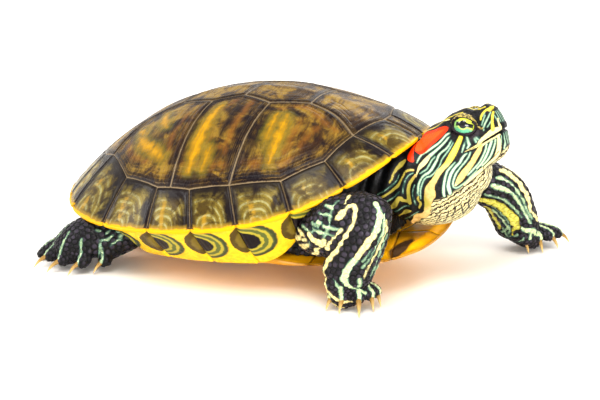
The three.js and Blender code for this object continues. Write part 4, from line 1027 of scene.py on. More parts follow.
# ------------------------------------------------------------------ markings
# Every stripe is a row of (place, place, half its width). On the head the places are millimetres along
# the head and up from its axis, seen from the side; on the crown and throat, along and out to the side;
# on the front of the snout, out to the side and up.
HEAD_MARKS = {
    "green": {"side": [
        [(18.3, 3.7, 0.3), (16.6, 3.9, 0.43), (14.5, 3.1, 0.43), (12.5, 2.4, 0.43), (10, 2.1, 0.49),
         (7.5, 1.8, 0.49), (5, 1.7, 0.49), (3.6, 1, 0.43), (2.6, 0, 0.3)],
        [(17, 2.8, 0.37), (15, 1.8, 0.43), (12.5, 1, 0.49), (10, 0.4, 0.55), (8, 0, 0.73)],
        [(17.4, 1.3, 0.24), (15, -0.3, 0.37), (12.5, -0.9, 0.39), (11, -1.4, 0.43), (9.8, -2.4, 0.43),
         (8.6, -3.2, 0.49), (7.4, -4, 0.51), (6.4, -4.7, 0.51), (5, -5.1, 0.49), (3.8, -5.1, 0.43),
         (2.6, -5.4, 0.37), (1.2, -6.3, 0.37), (0, -7.4, 0.39), (-1.2, -8.9, 0.37), (-2.4, -10.4, 0.3)],
        [(9.6, -1.2, 0.22), (8, -1.7, 0.27), (6.6, -2.7, 0.3), (5.2, -3.6, 0.3), (3.8, -3.8, 0.27),
         (2.4, -3.9, 0.22)],
        [(17.6, 0.3, 0.18), (15.2, -1.3, 0.27), (13.2, -2.3, 0.27), (11.2, -3.3, 0.24), (9.4, -4.8, 0.24),
         (8, -5.6, 0.24), (6.6, -6.2, 0.3), (5.2, -6.5, 0.3), (4, -6.2, 0.3), (2.8, -6.5, 0.27),
         (1.4, -7.5, 0.27), (0, -8.8, 0.27), (-1.2, -10.2, 0.27), (-2.4, -12, 0.24)],
        [(19.4, -5.5, 0.3), (18.2, -5.8, 0.43), (17, -6.4, 0.49), (15.6, -7.3, 0.49), (14, -7.8, 0.49),
         (12.6, -8.5, 0.55), (11.2, -9.5, 0.55), (10, -10.8, 0.55), (9, -12, 0.61), (8.4, -13.2, 0.73),
         (8, -14.4, 0.73), (7.6, -15.3, 0.61)],
        [(20.6, -5.8, 0.3), (19.4, -6.8, 0.34), (17.8, -7.7, 0.34), (16, -8.5, 0.34), (14.2, -9.3, 0.34),
         (12.8, -10.1, 0.39), (11.6, -11.2, 0.39), (10.6, -12.2, 0.37), (10, -13.2, 0.34),
         (9.9, -14.1, 0.34), (10.8, -14.7, 0.34), (12.6, -14.5, 0.32), (14.6, -14.1, 0.32),
         (16.6, -13.4, 0.32), (18.6, -12.7, 0.3)],
        [(14.5, -6.3, 0.24), (12.8, -6.9, 0.34), (11, -7.7, 0.43), (9.8, -8.8, 0.43), (8.8, -10, 0.49),
         (7.7, -11.4, 0.49), (6.8, -12.7, 0.55), (6, -14, 0.55), (5.5, -15.1, 0.49)],
        [(26.4, -5.9, 0.34), (25, -7.5, 0.37), (23.4, -8.8, 0.37), (21.6, -10, 0.39), (19.8, -10.9, 0.39),
         (17.8, -11.8, 0.37), (16, -12.4, 0.3)],
        [(28.3, -5.9, 0.49), (26.7, -7.3, 0.49), (25, -8.8, 0.49), (23, -10.2, 0.49), (21, -11.2, 0.46),
         (19, -12, 0.4)],
        [(29.8, -6, 0.34), (28.4, -7.5, 0.37), (26.8, -8.9, 0.4), (25, -10.3, 0.43), (22.8, -11.4, 0.46),
         (20.5, -12.1, 0.46)],
        [(31.9, -7, 0.3), (31.2, -8.8, 0.37), (30, -10.4, 0.37)],
        [(22.4, 0.2, 0.3), (21.3, -1.2, 0.37), (20.3, -2.4, 0.37), (19.3, -3.4, 0.34), (18.4, -4.3, 0.27)],
        [(24.4, -0.2, 0.37), (23.3, -1.6, 0.45), (22, -3, 0.45), (20.6, -4, 0.37)],
        [(26.1, -0.9, 0.37), (25, -2.1, 0.43), (23.9, -3.5, 0.37)],
        [(27.8, -1, 0.34), (26.6, -1.7, 0.37), (25.6, -2.7, 0.34), (24.9, -3.4, 0.24)],
        [(32.4, 3.2, 0.24), (31.2, 2.1, 0.3), (30.1, 1.3, 0.37), (29, 0.5, 0.37), (28, -0.4, 0.3)],
        [(30.3, 3.1, 0.24), (29.3, 2.3, 0.3), (28.5, 1.5, 0.3), (27.8, 0.7, 0.24)],
        [(31.6, 0.5, 0.22), (30.6, -0.2, 0.24), (29.4, -0.8, 0.22)],
        [(31.4, 4.8, 0.2), (30.4, 4, 0.25), (29.4, 3.2, 0.25)],
        [(0.2, -2.6, 0.15), (-1.6, -2.6, 0.2), (-3.6, -3.8, 0.2), (-5.4, -5.6, 0.2), (-7, -7.4, 0.2)],
        [(-4.6, -0.6, 0.15), (-6.6, -2.2, 0.2), (-9, -2.9, 0.2), (-12, -3.3, 0.2), (-16, -3.4, 0.2)],
        [(-7.6, -6.2, 0.15), (-10.5, -6.9, 0.22), (-13, -7.2, 0.25), (-17, -7.2, 0.25)],
        [(-1.2, -6.6, 0.15), (-2.8, -8, 0.2), (-4, -9.8, 0.22), (-4.8, -11.6, 0.22), (-5.4, -13.2, 0.2)],
        [(-7.8, -12.4, 0.15), (-10, -11.8, 0.22), (-13, -12, 0.22), (-17, -12, 0.22)],
        [(-6.4, -15.8, 0.15), (-9, -16, 0.22), (-12, -16.2, 0.22), (-16, -16.4, 0.22)]],
        "front": [
            [(0.6, 2.6, 0.2), (0.7, 1, 0.25), (0.6, -1.6, 0.22)],
            [(1.7, 2.6, 0.2), (1.9, 0.8, 0.26), (1.9, -1.4, 0.22)],
            [(3, 2, 0.2), (3.1, 0.4, 0.24), (3, -1.2, 0.2)],
            [(0.6, -5.6, 0.25), (0.7, -7.6, 0.3), (0.7, -9.4, 0.28)],
            [(2, -5.6, 0.25), (2.2, -7.6, 0.32), (2.1, -9.6, 0.28)],
            [(3.5, -5.8, 0.22), (3.7, -7.8, 0.28), (3.5, -9.8, 0.26)]]},
    "cream": {"side": [
        [(7.2, -0.3, 0.7), (6, -0.8, 0.9), (5, -1.2, 1), (3.8, -1.6, 0.9), (2.8, -2.1, 0.6),
         (1.6, -3.1, 0.3), (0.4, -4.3, 0.22)],
        [(18, 7.9, 0.25), (15.5, 8.5, 0.3), (12.5, 9.3, 0.35), (10, 10, 0.3)],
        [(31.1, -5.8, 0.4), (30.2, -7.4, 0.6), (28.9, -9.2, 0.75), (27.4, -10.7, 0.8), (25.6, -11.7, 0.75),
         (23, -12.4, 0.6), (20.5, -13, 0.6), (18, -13.7, 0.6), (15.5, -14.3, 0.5), (13, -15.1, 0.45)],
        [(18.9, -4.7, 0.15), (20.5, -4.7, 0.35), (22.5, -4.8, 0.6), (24.5, -4.5, 0.75), (26.5, -4, 0.9),
         (28.5, -3.6, 1), (30.2, -3.2, 1.1), (31.4, -3.2, 1), (32.8, -3.4, 0.6)],
        [(33, -3, 0.5), (33.1, -1.6, 0.35), (33.5, 0, 0.25)],
        [(24, -5.8, 0.5), (26, -5.4, 0.35), (28, -5.3, 0.3), (30, -5.3, 0.3), (31.6, -5.2, 0.35)],
        [(12, -12.9, 0.8), (10.6, -13.6, 0.3)]]},
    "yellow": {"side": [
        [(20.6, 1.2, 0.6), (19.4, -0.2, 0.85), (18, -1.5, 0.95), (16, -3, 1.1), (14, -4.3, 1.1),
         (12, -5.3, 0.95), (10, -6.1, 0.85), (8.4, -6.7, 0.95), (7, -7.6, 0.9), (5.5, -8.6, 1),
         (4, -9.4, 1.2), (2.6, -10.6, 1.7), (1.6, -12.2, 2), (0.2, -13.4, 1.6), (-1.3, -15, 1.1),
         (-2.8, -16.6, 1.2)],
        [(24.4, -5.7, 0.5), (23, -6.8, 0.85), (21, -8, 0.95), (19, -9.3, 0.95), (17, -10.4, 1),
         (15, -11.3, 1.1), (13, -12.4, 1.05), (11.8, -13, 0.6)],
        [(33, 4.4, 0.6), (32.4, 4.3, 0.8), (31.8, 4.6, 0.4)],
        [(33.2, 4.6, 0.25), (32, 4.6, 0.3), (30.8, 4.5, 0.35), (29.6, 4.1, 0.4), (28.7, 3.4, 0.4),
         (28.2, 2.6, 0.3)],
        [(30.9, -2.4, 0.6), (31.3, -1.2, 0.5), (31.8, 0.1, 0.4), (32.4, 1.4, 0.4), (33.2, 2.8, 0.35)],
        [(0.6, -3.6, 0.35), (-1, -4.4, 0.45), (-2.5, -5.2, 0.5), (-4, -6.6, 0.55), (-5.2, -8.3, 0.6),
         (-6.2, -10, 0.75), (-6.9, -11.5, 0.7)],
        [(-7.6, -10.6, 0.5), (-8.8, -9.6, 0.6), (-9, -8.3, 0.8), (-11, -9, 0.75), (-13, -9.7, 0.9),
         (-16, -10, 0.7), (-20, -9, 0.5)],
        [(0.6, -1.7, 0.32), (-0.6, -1, 0.36), (-2, -0.9, 0.32), (-3.5, -1.9, 0.32), (-5, -2.9, 0.32),
         (-6.8, -4, 0.5), (-8.4, -4.3, 0.4), (-11, -4.8, 0.4), (-15, -5, 0.4)],
        [(-1.6, 2.6, 0.7), (-3, 2.1, 0.9), (-4.6, 1.6, 0.55), (-6.2, 0.6, 0.38), (-7.5, -0.7, 0.35),
         (-9, -1.6, 0.3)],
        [(-2.6, -10.8, 0.25), (-3.5, -12, 0.35), (-3.5, -13.5, 0.4), (-5.2, -14.7, 0.3)],
        [(-8.8, -14.3, 0.35), (-10.5, -13.8, 0.7), (-13, -14, 0.5), (-16, -14, 0.35)],
        [(-4, -17.6, 1.2), (-6, -18, 1.3), (-8.4, -17.4, 1.5), (-11, -18.3, 1.1), (-14, -18.8, 0.8)],
        [(26, 7.1, 0.25), (27.5, 6.4, 0.3), (29, 6, 0.3), (31.2, 5.8, 0.22)]],
        "crown": [
            [(31.8, 0, 0.2), (28, 0, 0.3), (24, 0, 0.35), (19, 0, 0.3)],
            [(23, 3.2, 0.3), (18, 3.6, 0.3), (12, 4.2, 0.35), (4, 4.6, 0.35), (-6, 5, 0.35)],
            [(15, 0.9, 0.2), (8, 1.3, 0.28), (0, 1.4, 0.3), (-10, 1.6, 0.3)]]},
    "red": {"side": [
        [(17.4, 5.8, 0.5), (15.4, 5.7, 1.5), (13, 5.7, 2.4), (10.4, 5.6, 3.3), (7.8, 5.4, 4.0),
         (5.4, 5.0, 4.1), (4.0, 4.6, 3.3)],
        [(1.6, 4.8, 1.0), (1.0, 3.6, 1.25), (1.0, 2.4, 1.1), (1.4, 1.4, 0.6)]]},
    "dark": {"side": [
        [(2.6, 8, 0.1), (2.7, 5, 0.22), (2.5, 2.5, 0.25), (2.2, 0.8, 0.25)],
        [(19.6, -13.9, 0.12), (16, -14.9, 0.2), (12.5, -15.6, 0.2), (9, -16.4, 0.2), (5.5, -16.7, 0.15)],
        [(0, -14.9, 0.2), (1.6, -14.4, 0.25), (3, -14.9, 0.25), (4.4, -15.6, 0.2), (6.2, -16, 0.15)],
        [(18.5, -16, 0.12), (15, -17.1, 0.2), (11.5, -17.5, 0.2), (8, -17.6, 0.2), (4, -17.8, 0.15),
         (0, -17.6, 0.2), (-3, -18.4, 0.2)],
        [(17, -18.3, 0.12), (14, -18.4, 0.2), (11, -19, 0.22), (9, -18.9, 0.22), (6, -19.2, 0.2),
         (3, -18.9, 0.2), (0, -19.6, 0.2), (-3, -20.2, 0.2)],
        [(14.5, -19.9, 0.2), (12, -19.9, 0.25), (10, -20.8, 0.28), (8.6, -22.3, 0.28), (7.4, -24, 0.25)],
        [(7.8, -20.2, 0.25), (7, -21.6, 0.28), (6, -23, 0.28), (4.6, -24.4, 0.25)],
        [(5.6, -20.2, 0.3), (4.8, -21.4, 0.3), (3.2, -22.4, 0.3), (1, -23.4, 0.25)],
        [(2.8, -20.6, 0.25), (1.4, -21.8, 0.25), (-0.6, -22.9, 0.22), (-3, -24.2, 0.2)],
        [(-0.5, -20.4, 0.2), (-2.4, -21.4, 0.25), (-4.6, -22.2, 0.22), (-8, -24, 0.2)],
        [(19, -4.4, 0.14), (22, -4.95, 0.12), (26, -5, 0.1), (31.8, -4.7, 0.1)]],
        "throat": [
            [(28, 3.4, 0.15), (22, 4, 0.2), (14, 4.6, 0.2), (6, 5, 0.25), (-4, 6, 0.25)],
            [(29, 1.2, 0.15), (20, 1.6, 0.2), (10, 1.4, 0.2), (0, 2, 0.25)]]}}
# On the limbs the places are millimetres down the axis of that part, and degrees round it.
THIGH_STRIPES = [[(6, -10, 0.5), (14, -4, 0.6), (24, -10, 0.5)],
                 [(6, 40, 0.5), (14, 44, 0.6), (24, 40, 0.5)],
                 [(6, -60, 0.5), (14, -56, 0.6), (24, -60, 0.5)]]
LIMB_MARKS = {
    "fore_right": {
        "green": {"lower": [
            [(0, -8, 0.9), (2, -20, 1.1), (4, -27, 1.35), (6, -29, 1.45), (8, -26, 1.3), (10, -21, 1.1)],
            [(18, -4, 1.1), (20, 1, 1.2), (22, 5, 1.25), (25, 8, 1.25), (27.5, 11, 1.3), (29.5, 4, 1),
             (31, -6, 0.7), (33, -28, 0.6), (35, -46, 0.6), (37, -56, 0.7)],
            [(26, -42, 0.8), (28.5, -43, 0.9), (30.5, -40, 0.5)],
            [(3, -42, 0.4), (6, -46, 0.55), (8, -51, 0.6), (10, -47, 0.5), (12, -44, 0.45), (15, -44, 0.42),
             (18, -41, 0.42), (21, -33, 0.4)],
            [(14, -34, 0.3), (17, -30, 0.35), (19, -24, 0.4)],
            [(9, -68, 0.4), (13, -64, 0.42), (17, -67, 0.42), (21, -70, 0.42), (26, -74, 0.35)],
            [(28.5, 46, 0.35), (30, 40, 0.4), (31.5, 38, 0.5), (33, 44, 0.5), (34.5, 52, 0.45)],
            [(2, 84, 0.35), (7, 76, 0.35), (14, 70, 0.35), (19, 76, 0.35)],
            [(1, -100, 0.5), (10, -92, 0.55), (20, -84, 0.55), (30, -92, 0.5)],
            [(1, 130, 0.5), (10, 124, 0.55), (20, 128, 0.55), (32, 122, 0.5)],
            [(1, 175, 0.5), (12, 168, 0.6), (24, 172, 0.6), (34, 165, 0.5)]],
            "upper": [
                [(15.2, -10, 0.5), (16.3, -2, 0.6), (18, 4, 0.6), (19.6, 9, 0.5), (21.5, 15, 0.4)],
                [(17.5, -22, 0.9), (18.6, -17, 0.6)],
                [(19.6, -9, 0.8), (20.8, -5, 0.65), (22.4, 2, 0.5), (24, 7, 0.4)],
                [(15.4, -26, 0.4), (15.8, -18, 0.5), (17.4, -11, 0.4)],
                [(18.6, -40, 0.45), (20, -34, 0.55), (21.6, -30, 0.45), (22.6, -24, 0.4)],
                [(21.5, -52, 0.6), (23, -46, 0.8), (23.6, -38, 0.5)],
                [(10, 60, 0.5), (11, 48, 0.55), (12.2, 40, 0.5), (12.4, 30, 0.4)],
                [(10.6, -22, 0.4), (12, -12, 0.6), (13.6, -4, 0.5), (15, 2, 0.4)],
                [(6, -20, 0.4), (7.4, -12, 0.6), (8.4, -8, 0.3)],
                [(10, 110, 0.6), (18, 104, 0.6), (26, 110, 0.6)],
                [(8, 150, 0.6), (18, 146, 0.6), (28, 150, 0.6)]]},
        "cream": {"lower": [
            [(10, -21, 1.1), (12, -15, 1.15), (14, -12, 1.1), (16, -8, 1.05), (18, -4, 1.1)],
            [(8.5, 67, 0.5), (5.5, 66, 0.4), (3, 62, 0.45), (2.6, 54, 0.5), (4, 45, 0.55), (6.5, 41, 0.5),
             (9.5, 42, 0.5), (13, 47, 0.5), (16, 51, 0.55), (19, 57, 0.7), (22, 64, 0.95), (25, 71, 1.05),
             (27, 79, 1), (29.5, 83, 0.9), (32, 81, 0.85), (34, 74, 0.7), (35.5, 63, 0.55), (36.4, 50, 0.55),
             (37.4, 34, 0.5), (38, 16, 0.4)],
            [(5, -54, 0.45), (8, -60, 0.5), (11, -55, 0.5), (14, -54, 0.45), (17, -53, 0.5), (20, -50, 0.45),
             (25, -54, 0.4)],
            [(34, 96, 0.45), (37, 90, 0.5), (39.5, 80, 0.4)]],
            "upper": [
                [(23.5, 27, 0.55), (26, 13, 0.6), (28.5, 0, 0.65), (30.5, -15, 0.7), (31, -28, 0.75),
                 (29, -33, 0.75), (27.2, -26, 0.7), (26, -18, 0.7), (24.2, -15, 0.6)],
                [(13, 4, 0.7), (13.6, 15, 1.2), (14.6, 24, 1.3), (16, 31, 1.5),
                 (17.2, 30, 1.3), (17.8, 22, 0.9)],
                [(17.2, 50, 0.5), (17.9, 40, 0.7), (18.9, 32, 0.7), (20.2, 24, 0.6), (22, 16, 0.5),
                 (24, 7, 0.4)],
                [(4, 78, 1), (6, 62, 1), (7.5, 45, 1), (9, 28, 0.6)],
                [(8.4, -4, 0.5), (9.6, 6, 0.75), (11, 13, 0.5)], [(5, 12, 0.6), (6.4, 22, 0.8), (7, 30, 0.5)],
                [(3, 40, 0.7), (4.4, 50, 0.8)], [(10, 34, 0.5), (11.4, 26, 0.6)],
                [(7.5, 84, 1.1), (8.6, 73, 1.1), (9.8, 60, 1), (11.4, 46, 0.7)],
                [(11.4, 84, 1), (12.6, 70, 1), (13.4, 60, 0.9), (14, 50, 0.8), (15.2, 44, 0.5)],
                [(27.8, -42, 0.4), (29, -51, 0.5), (30.3, -66, 0.4)]]}},
    "fore_left": {
        "green": {"lower": [
            [(3.5, 38, 0.8), (5, 33, 1.1), (7, 27, 0.95), (9, 21, 0.75), (11, 18, 0.62), (13, 17, 0.6),
             (15, 15, 0.6), (17, 12, 0.55), (19, 10, 0.55), (20.5, 3, 0.55), (22, -5, 0.55),
             (23.5, -13, 0.5)],
            [(3, 14, 0.5), (5, 6, 0.7), (7, 4, 0.6), (9, 3, 0.5), (11, 5, 0.48), (14, 4, 0.45), (17, 3, 0.42),
             (19, 1, 0.42), (20.5, -5, 0.42), (22, -17, 0.4)],
            [(4, 70, 0.5), (6, 63, 0.5), (8, 55, 0.5), (10, 46, 0.6), (12, 41, 0.5), (14, 35, 0.5),
             (16, 29, 0.5), (18, 24, 0.45), (20, 19, 0.4)],
            [(25, 13, 0.8), (28, 14, 1), (31, 14, 1.1), (34, 17, 0.9), (36, 18, 0.6)],
            [(19, 81, 0.65), (20.5, 76, 0.8), (22.5, 70, 0.7), (24.4, 62, 0.5), (25.4, 80, 0.4),
             (26.2, 106, 0.4)],
            [(12.6, 99, 0.4), (15, 95, 0.65), (17.6, 89, 0.75), (19, 86, 0.4)],
            [(27.5, 112, 0.28), (27.3, 90, 0.28), (27.2, 60, 0.3), (27, 45, 0.3)],
            [(10.5, 92, 0.3), (13, 84, 0.35), (16, 77, 0.35), (18, 70, 0.35), (20.5, 62, 0.35),
             (22.6, 52, 0.3)],
            [(21, 96, 0.3), (23, 90, 0.4), (25, 88, 0.4), (27, 96, 0.35)],
            [(23.6, 50, 0.3), (25.6, 62, 0.35), (26.6, 80, 0.3)],
            [(29, 96, 0.3), (29.4, 76, 0.35), (29.2, 56, 0.35), (28.6, 40, 0.3)],
            [(4, -70, 0.6), (12, -66, 0.6), (20, -70, 0.6), (28, -74, 0.5)],
            [(4, -110, 0.6), (12, -104, 0.6), (22, -108, 0.6), (30, -100, 0.5)]],
            "upper": [
                [(4, 20, 0.6), (12, 28, 0.6), (22, 24, 0.6)], [(4, -20, 0.6), (12, -12, 0.6), (22, -16, 0.6)],
                [(4, 80, 0.7), (12, 88, 0.7), (22, 84, 0.7)],
                [(4, -70, 0.6), (14, -64, 0.6), (24, -68, 0.6)],
                [(4, 150, 0.6), (14, 156, 0.6), (24, 152, 0.6)]]},
        "cream": {"lower": [
            [(3, -14, 0.9), (5, -18, 1.25), (8, -17, 1.25), (11, -12, 1.15), (14, -10, 1.05), (17, -8, 0.8),
             (19, -7, 0.7), (20.5, -14, 0.65), (22, -27, 0.6), (24, -38, 0.6)],
            [(2, -44, 0.6), (8, -42, 0.7), (14, -38, 0.6), (20, -44, 0.5)]],
            "upper": [[(4, 52, 0.9), (12, 58, 1), (22, 56, 1)]]},
        "yellow": {"lower": [
            [(5, 92, 1.2), (7.5, 83, 1.45), (10, 73, 1.6), (12.5, 66, 1.65), (15, 59, 1.75), (17.5, 50, 1.8),
             (20, 41, 1.85), (22.5, 33, 1.7), (24.2, 28, 1.1), (25.5, 48, 0.5), (27, 66, 0.4)],
            [(9, 116, 0.6), (11, 107, 0.8), (13, 112, 1), (15.5, 113, 1.05), (18, 112, 1), (20, 108, 0.9),
             (22, 101, 0.9), (24, 99, 0.8), (25.5, 110, 0.5)],
            [(13, 134, 0.5), (17, 140, 0.6), (22, 134, 0.55), (26, 142, 0.5)],
            [(6, -150, 0.8), (14, -146, 0.9), (22, -150, 0.9), (28, -140, 0.5)],
            [(6, 166, 0.6), (14, 172, 0.6), (24, 166, 0.6)]]}},
    "hind_right": {
        "green": {"lower": [
            [(18, -20, 0.45), (19.5, -15, 0.35)],
            [(4, -12, 0.5), (7, -4, 0.7), (10, 2, 0.4)], [(6, -32, 0.5), (10, -26, 0.75), (13, -28, 0.4)],
            [(4, -52, 0.4), (8, -50, 0.7), (12, -54, 0.4)], [(12, -8, 0.4), (15, -10, 0.6), (17, -4, 0.3)],
            [(14, -42, 0.4), (17, -46, 0.6), (20, -40, 0.3)],
            [(20.4, -46, 0.3), (21.5, -60, 0.32), (22.5, -75, 0.36), (23.5, -86, 0.36)],
            [(3, -24, 0.3), (5, -20, 0.5), (7, -18, 0.3)], [(9, -40, 0.3), (11, -42, 0.5), (12.6, -38, 0.3)],
            [(12, -64, 0.3), (14.5, -60, 0.55), (17, -64, 0.3)],
            [(2, -38, 0.3), (3.6, -42, 0.5), (5, -42, 0.3)],
            [(14, -26, 0.25), (15.5, -30, 0.45), (17, -30, 0.25)],
            [(7, 12, 0.3), (9, 16, 0.45), (11, 14, 0.3)],
            [(4, 90, 0.4), (16, 100, 0.4), (28, 110, 0.4), (38, 120, 0.4)],
            [(10, -130, 0.4), (20, -126, 0.4), (30, -130, 0.4)]]},
        "yellow": {"upper": THIGH_STRIPES}},
    "hind_left": {
        "green": {"lower": [
            [(14, -16, 0.4), (22, -22, 0.4), (30, -30, 0.42), (38, -40, 0.4)],
            [(10, 20, 0.4), (20, 14, 0.4), (30, 6, 0.42), (40, -4, 0.4)],
            [(12, -60, 0.35), (20, -66, 0.35), (28, -72, 0.35)],
            [(10, 60, 0.4), (20, 56, 0.4), (32, 50, 0.4), (42, 40, 0.4)],
            [(4, -110, 0.4), (16, -116, 0.4), (30, -120, 0.4)],
            [(8, 130, 0.4), (20, 126, 0.4), (32, 130, 0.4)]]},
        "yellow": {"upper": THIGH_STRIPES}}}
MARKS = ("green", "cream", "yellow", "red", "dark")
FAR = 3.0                                   # a mark's distance is no use beyond this many millimetres
NEAR_SAMPLES = 8                            # how many of a mark's nearest samples count at each place
STRIPE_STEP = 0.16                          # about how far apart they lie on the head; half on the limbs
TURN_SCALE = 0.15                           # about the millimetres in a degree round a limb
TOE_REACH = 7                               # a toe's line lies no further than this from its middle


def dropped(tree, starts, ways, half_widths, reach=40):
    """Points on the skin where lines from inside come out, with the half width of a stripe there."""
    found = []
    for start, way, half in zip(starts, ways, half_widths):
        hit = tree.ray_cast(Vector(start), Vector(way), reach)[0]
        if hit is not None:
            found.append((*hit, half))
    return found


def stripe_samples(stripe):
    """A smooth line through a stripe's places, and how many samples it wants."""
    stripe = np.array(stripe, dtype=float)
    rough = catmull(stripe, np.linspace(0, 1, 12 * len(stripe)), even=True)
    length = np.linalg.norm(np.diff(rough[:, :2], axis=0), axis=1).sum()
    return rough, max(6, int(length / STRIPE_STEP))


def head_samples(tree, chart, stripe):
    """Places along one stripe of the head on both sides, thrown onto the skin from inside."""
    rough, count = stripe_samples(stripe)
    along, place, half = resampled(rough, count).T
    for side in (1, -1):
        if chart == "side":
            starts = np.column_stack([along, np.full(len(along), 0.3 * side), place])
            way = np.array([0, side, 0])
        elif chart == "front":
            starts = np.column_stack([np.full(len(along), 26), along * side, place])
            way = np.array([1, 0, 0])
        else:
            up = 1 if chart == "crown" else -1
            starts = np.column_stack([along, place * side, np.full(len(along), -2 if up > 0 else -9)])
            way = np.array([0, 0, up])
        aim = head_to_body(starts + way) - head_to_body(starts)
        yield from dropped(tree, head_to_body(starts), aim, half)


def limb_samples(tree, chart, stripe):
    rough, count = stripe_samples(np.array(stripe) * [1, TURN_SCALE, 1])
    along, turn, half = resampled(rough, count * 2).T
    starts, ways = chart.rays(along, turn / TURN_SCALE)
    return dropped(tree, starts, ways, half)


def toe_samples(tree, limb):
    """A pale line along the top and front of each toe, broad on the forefeet."""
    half_width, start = (0.7, -0.6) if limb.startswith("fore") else (0.42, -0.1)
    for toe in LIMBS[limb]["toes"]:
        shares = np.linspace(start, 1.2, 60)
        places = toe_line(toe, shares, -0.6)
        ahead = np.array(toe[2]) - toe[0]
        ahead[2] = 0
        lean = ramp(0.2, 1.1, shares)[:, None] * ahead / np.linalg.norm(ahead)
        widths = half_width * ramp(start - 0.1, start + 0.8, shares) + 0.1
        yield from dropped(tree, places, lean + [0, 0, 1], widths, TOE_REACH)


class Markings:
    """Distance in millimetres from any point to the edge of each kind of mark, below 0 inside it."""

    def __init__(self, skin):
        tree = BVHTree.FromPolygons([tuple(point) for point in points_of(skin)],
                                    [tuple(face.vertices) for face in skin.data.polygons])
        self.skin_tree = tree
        self.kinds = {}
        for kind in MARKS:
            samples = []
            for chart, stripes in HEAD_MARKS.get(kind, {}).items():
                for stripe in stripes:
                    samples += head_samples(tree, chart, stripe)
            for limb, marks in LIMB_MARKS.items():
                for part, stripes in marks.get(kind, {}).items():
                    for stripe in stripes:
                        samples += limb_samples(tree, LimbChart(limb, part), stripe)
                if kind == "green":
                    samples += toe_samples(tree, limb)
            lookup = lookup_of([sample[:3] for sample in samples])
            self.kinds[kind] = (lookup, [sample[3] for sample in samples])

    def read(self, points):
        values = {}
        for kind, (lookup, halves) in self.kinds.items():
            found = np.full(len(points), FAR)
            for index, point in enumerate(points):
                nearest = lookup.find(point)[2]
                if nearest < FAR + 2:
                    found[index] = min(distance - halves[at_sample]
                                       for _, at_sample, distance in lookup.find_n(point, NEAR_SAMPLES))
            values[kind] = np.minimum(found, FAR)
        return values


# ------------------------------------------------------------------ scales
SCALE_SIDES = 11
SCALE_RISE = 0.34
SCALE_RINGS = ((0.98, -0.12), (0.86, 0.55), (0.5, 0.92))       # share of the outline, share of the rise
WIDEST_SCALE = 1.5
BARE_BELOW = 0.9                            # the palms have no scales
LIMB_SPAN = 45                              # how far along the body a limb reaches from its middle
LIMB_ROOT = 15                              # and how near it comes to the midline
LIMB_RADIUS = 15                            # skin further than this from a limb's axis is not its own
SCALES_START = 0.74                         # share of the way out to the rim where the scales begin


def spread_seeds(candidates, spacings):
    """Picks candidates no closer to each other than their spacing, by throwing them in turn."""
    cell = spacings.max()
    grid, chosen = {}, []
    for index, (point, spacing) in enumerate(zip(candidates, spacings)):
        key = tuple((point // cell).astype(int))
        near = [other for dx in (-1, 0, 1) for dy in (-1, 0, 1) for dz in (-1, 0, 1)
                for other in grid.get((key[0] + dx, key[1] + dy, key[2] + dz), ())]
        if near and np.linalg.norm(candidates[near] - point, axis=1).min() < spacing:
            continue
        grid.setdefault(key, []).append(index)
        chosen.append(index)
    return np.array(chosen)


def settled(seeds, candidates, rounds=3):
    """Evens out the seeds: each moves to the middle of the candidates nearest to it."""
    for _ in range(rounds):
        lookup = lookup_of(seeds)
        owner = np.array([lookup.find(point)[1] for point in candidates])
        count = np.maximum(np.bincount(owner, minlength=len(seeds)), 1)
        seeds = np.column_stack([np.bincount(owner, candidates[:, axis], len(seeds)) / count
                                 for axis in range(3)])
    return seeds


def scale_spacing(limb, along_lower, in_lower):
    """Distance between scales: broad on the leg, small on the toes."""
    wide = 2.3 if limb.startswith("fore") else 2.5
    return np.where(in_lower, wide - 0.9 * ramp(22, 34, along_lower), 2.1)


def build_scales(limb, skin, markings, material):
    """Small horny scales over one limb, each a low dome that fills its place among its neighbours."""
    points, normals = points_of(skin), normals_of(skin)
    kind, side_name = limb.split("_")
    lower, upper = LimbChart(limb, "lower"), LimbChart(limb, "upper")
    side = 1 if side_name == "left" else -1
    middle = lower.curve[:, 0].mean()
    near = np.nonzero((np.abs(points[:, 0] - middle) < LIMB_SPAN) & (points[:, 1] * side > LIMB_ROOT))[0]
    along_lower, _, far_lower = lower.read(points[near])
    far_upper = upper.read(points[near])[2]
    outside = shell_reach(points[near]) > SCALES_START
    on_limb = (np.minimum(far_lower, far_upper) < LIMB_RADIUS) & (points[near][:, 2] > 0.5) & outside
    near = near[on_limb]
    in_lower = (far_lower <= far_upper)[on_limb]
    along_lower = along_lower[on_limb]
    turns = rng.permutation(len(near))
    candidates, facing = points[near][turns], normals[near][turns]
    spacings = scale_spacing(limb, along_lower, in_lower)[turns]
    seeds = settled(candidates[spread_seeds(candidates, spacings * 0.82)], candidates)
    return lay_scales(f"scales_{limb}", seeds, markings, material, lower,
                      [f"{node}_{side_name}" for node in LIMB_NODES[kind]])


def scale_outline(gaps, turns):
    """How far a scale goes each way: nearly half way to its neighbours, with rounded corners."""
    reach = np.full(SCALE_SIDES, WIDEST_SCALE)
    for gap in gaps:
        towards = np.cos(turns - math.atan2(gap[1], gap[0]))
        half_way = np.hypot(*gap) / 2 / np.maximum(towards, 0.2)
        reach = np.where(towards > 0.2, np.minimum(reach, half_way), reach)
    return (reach * 2 + np.roll(reach, 1) + np.roll(reach, -1)) / 4 * 0.94


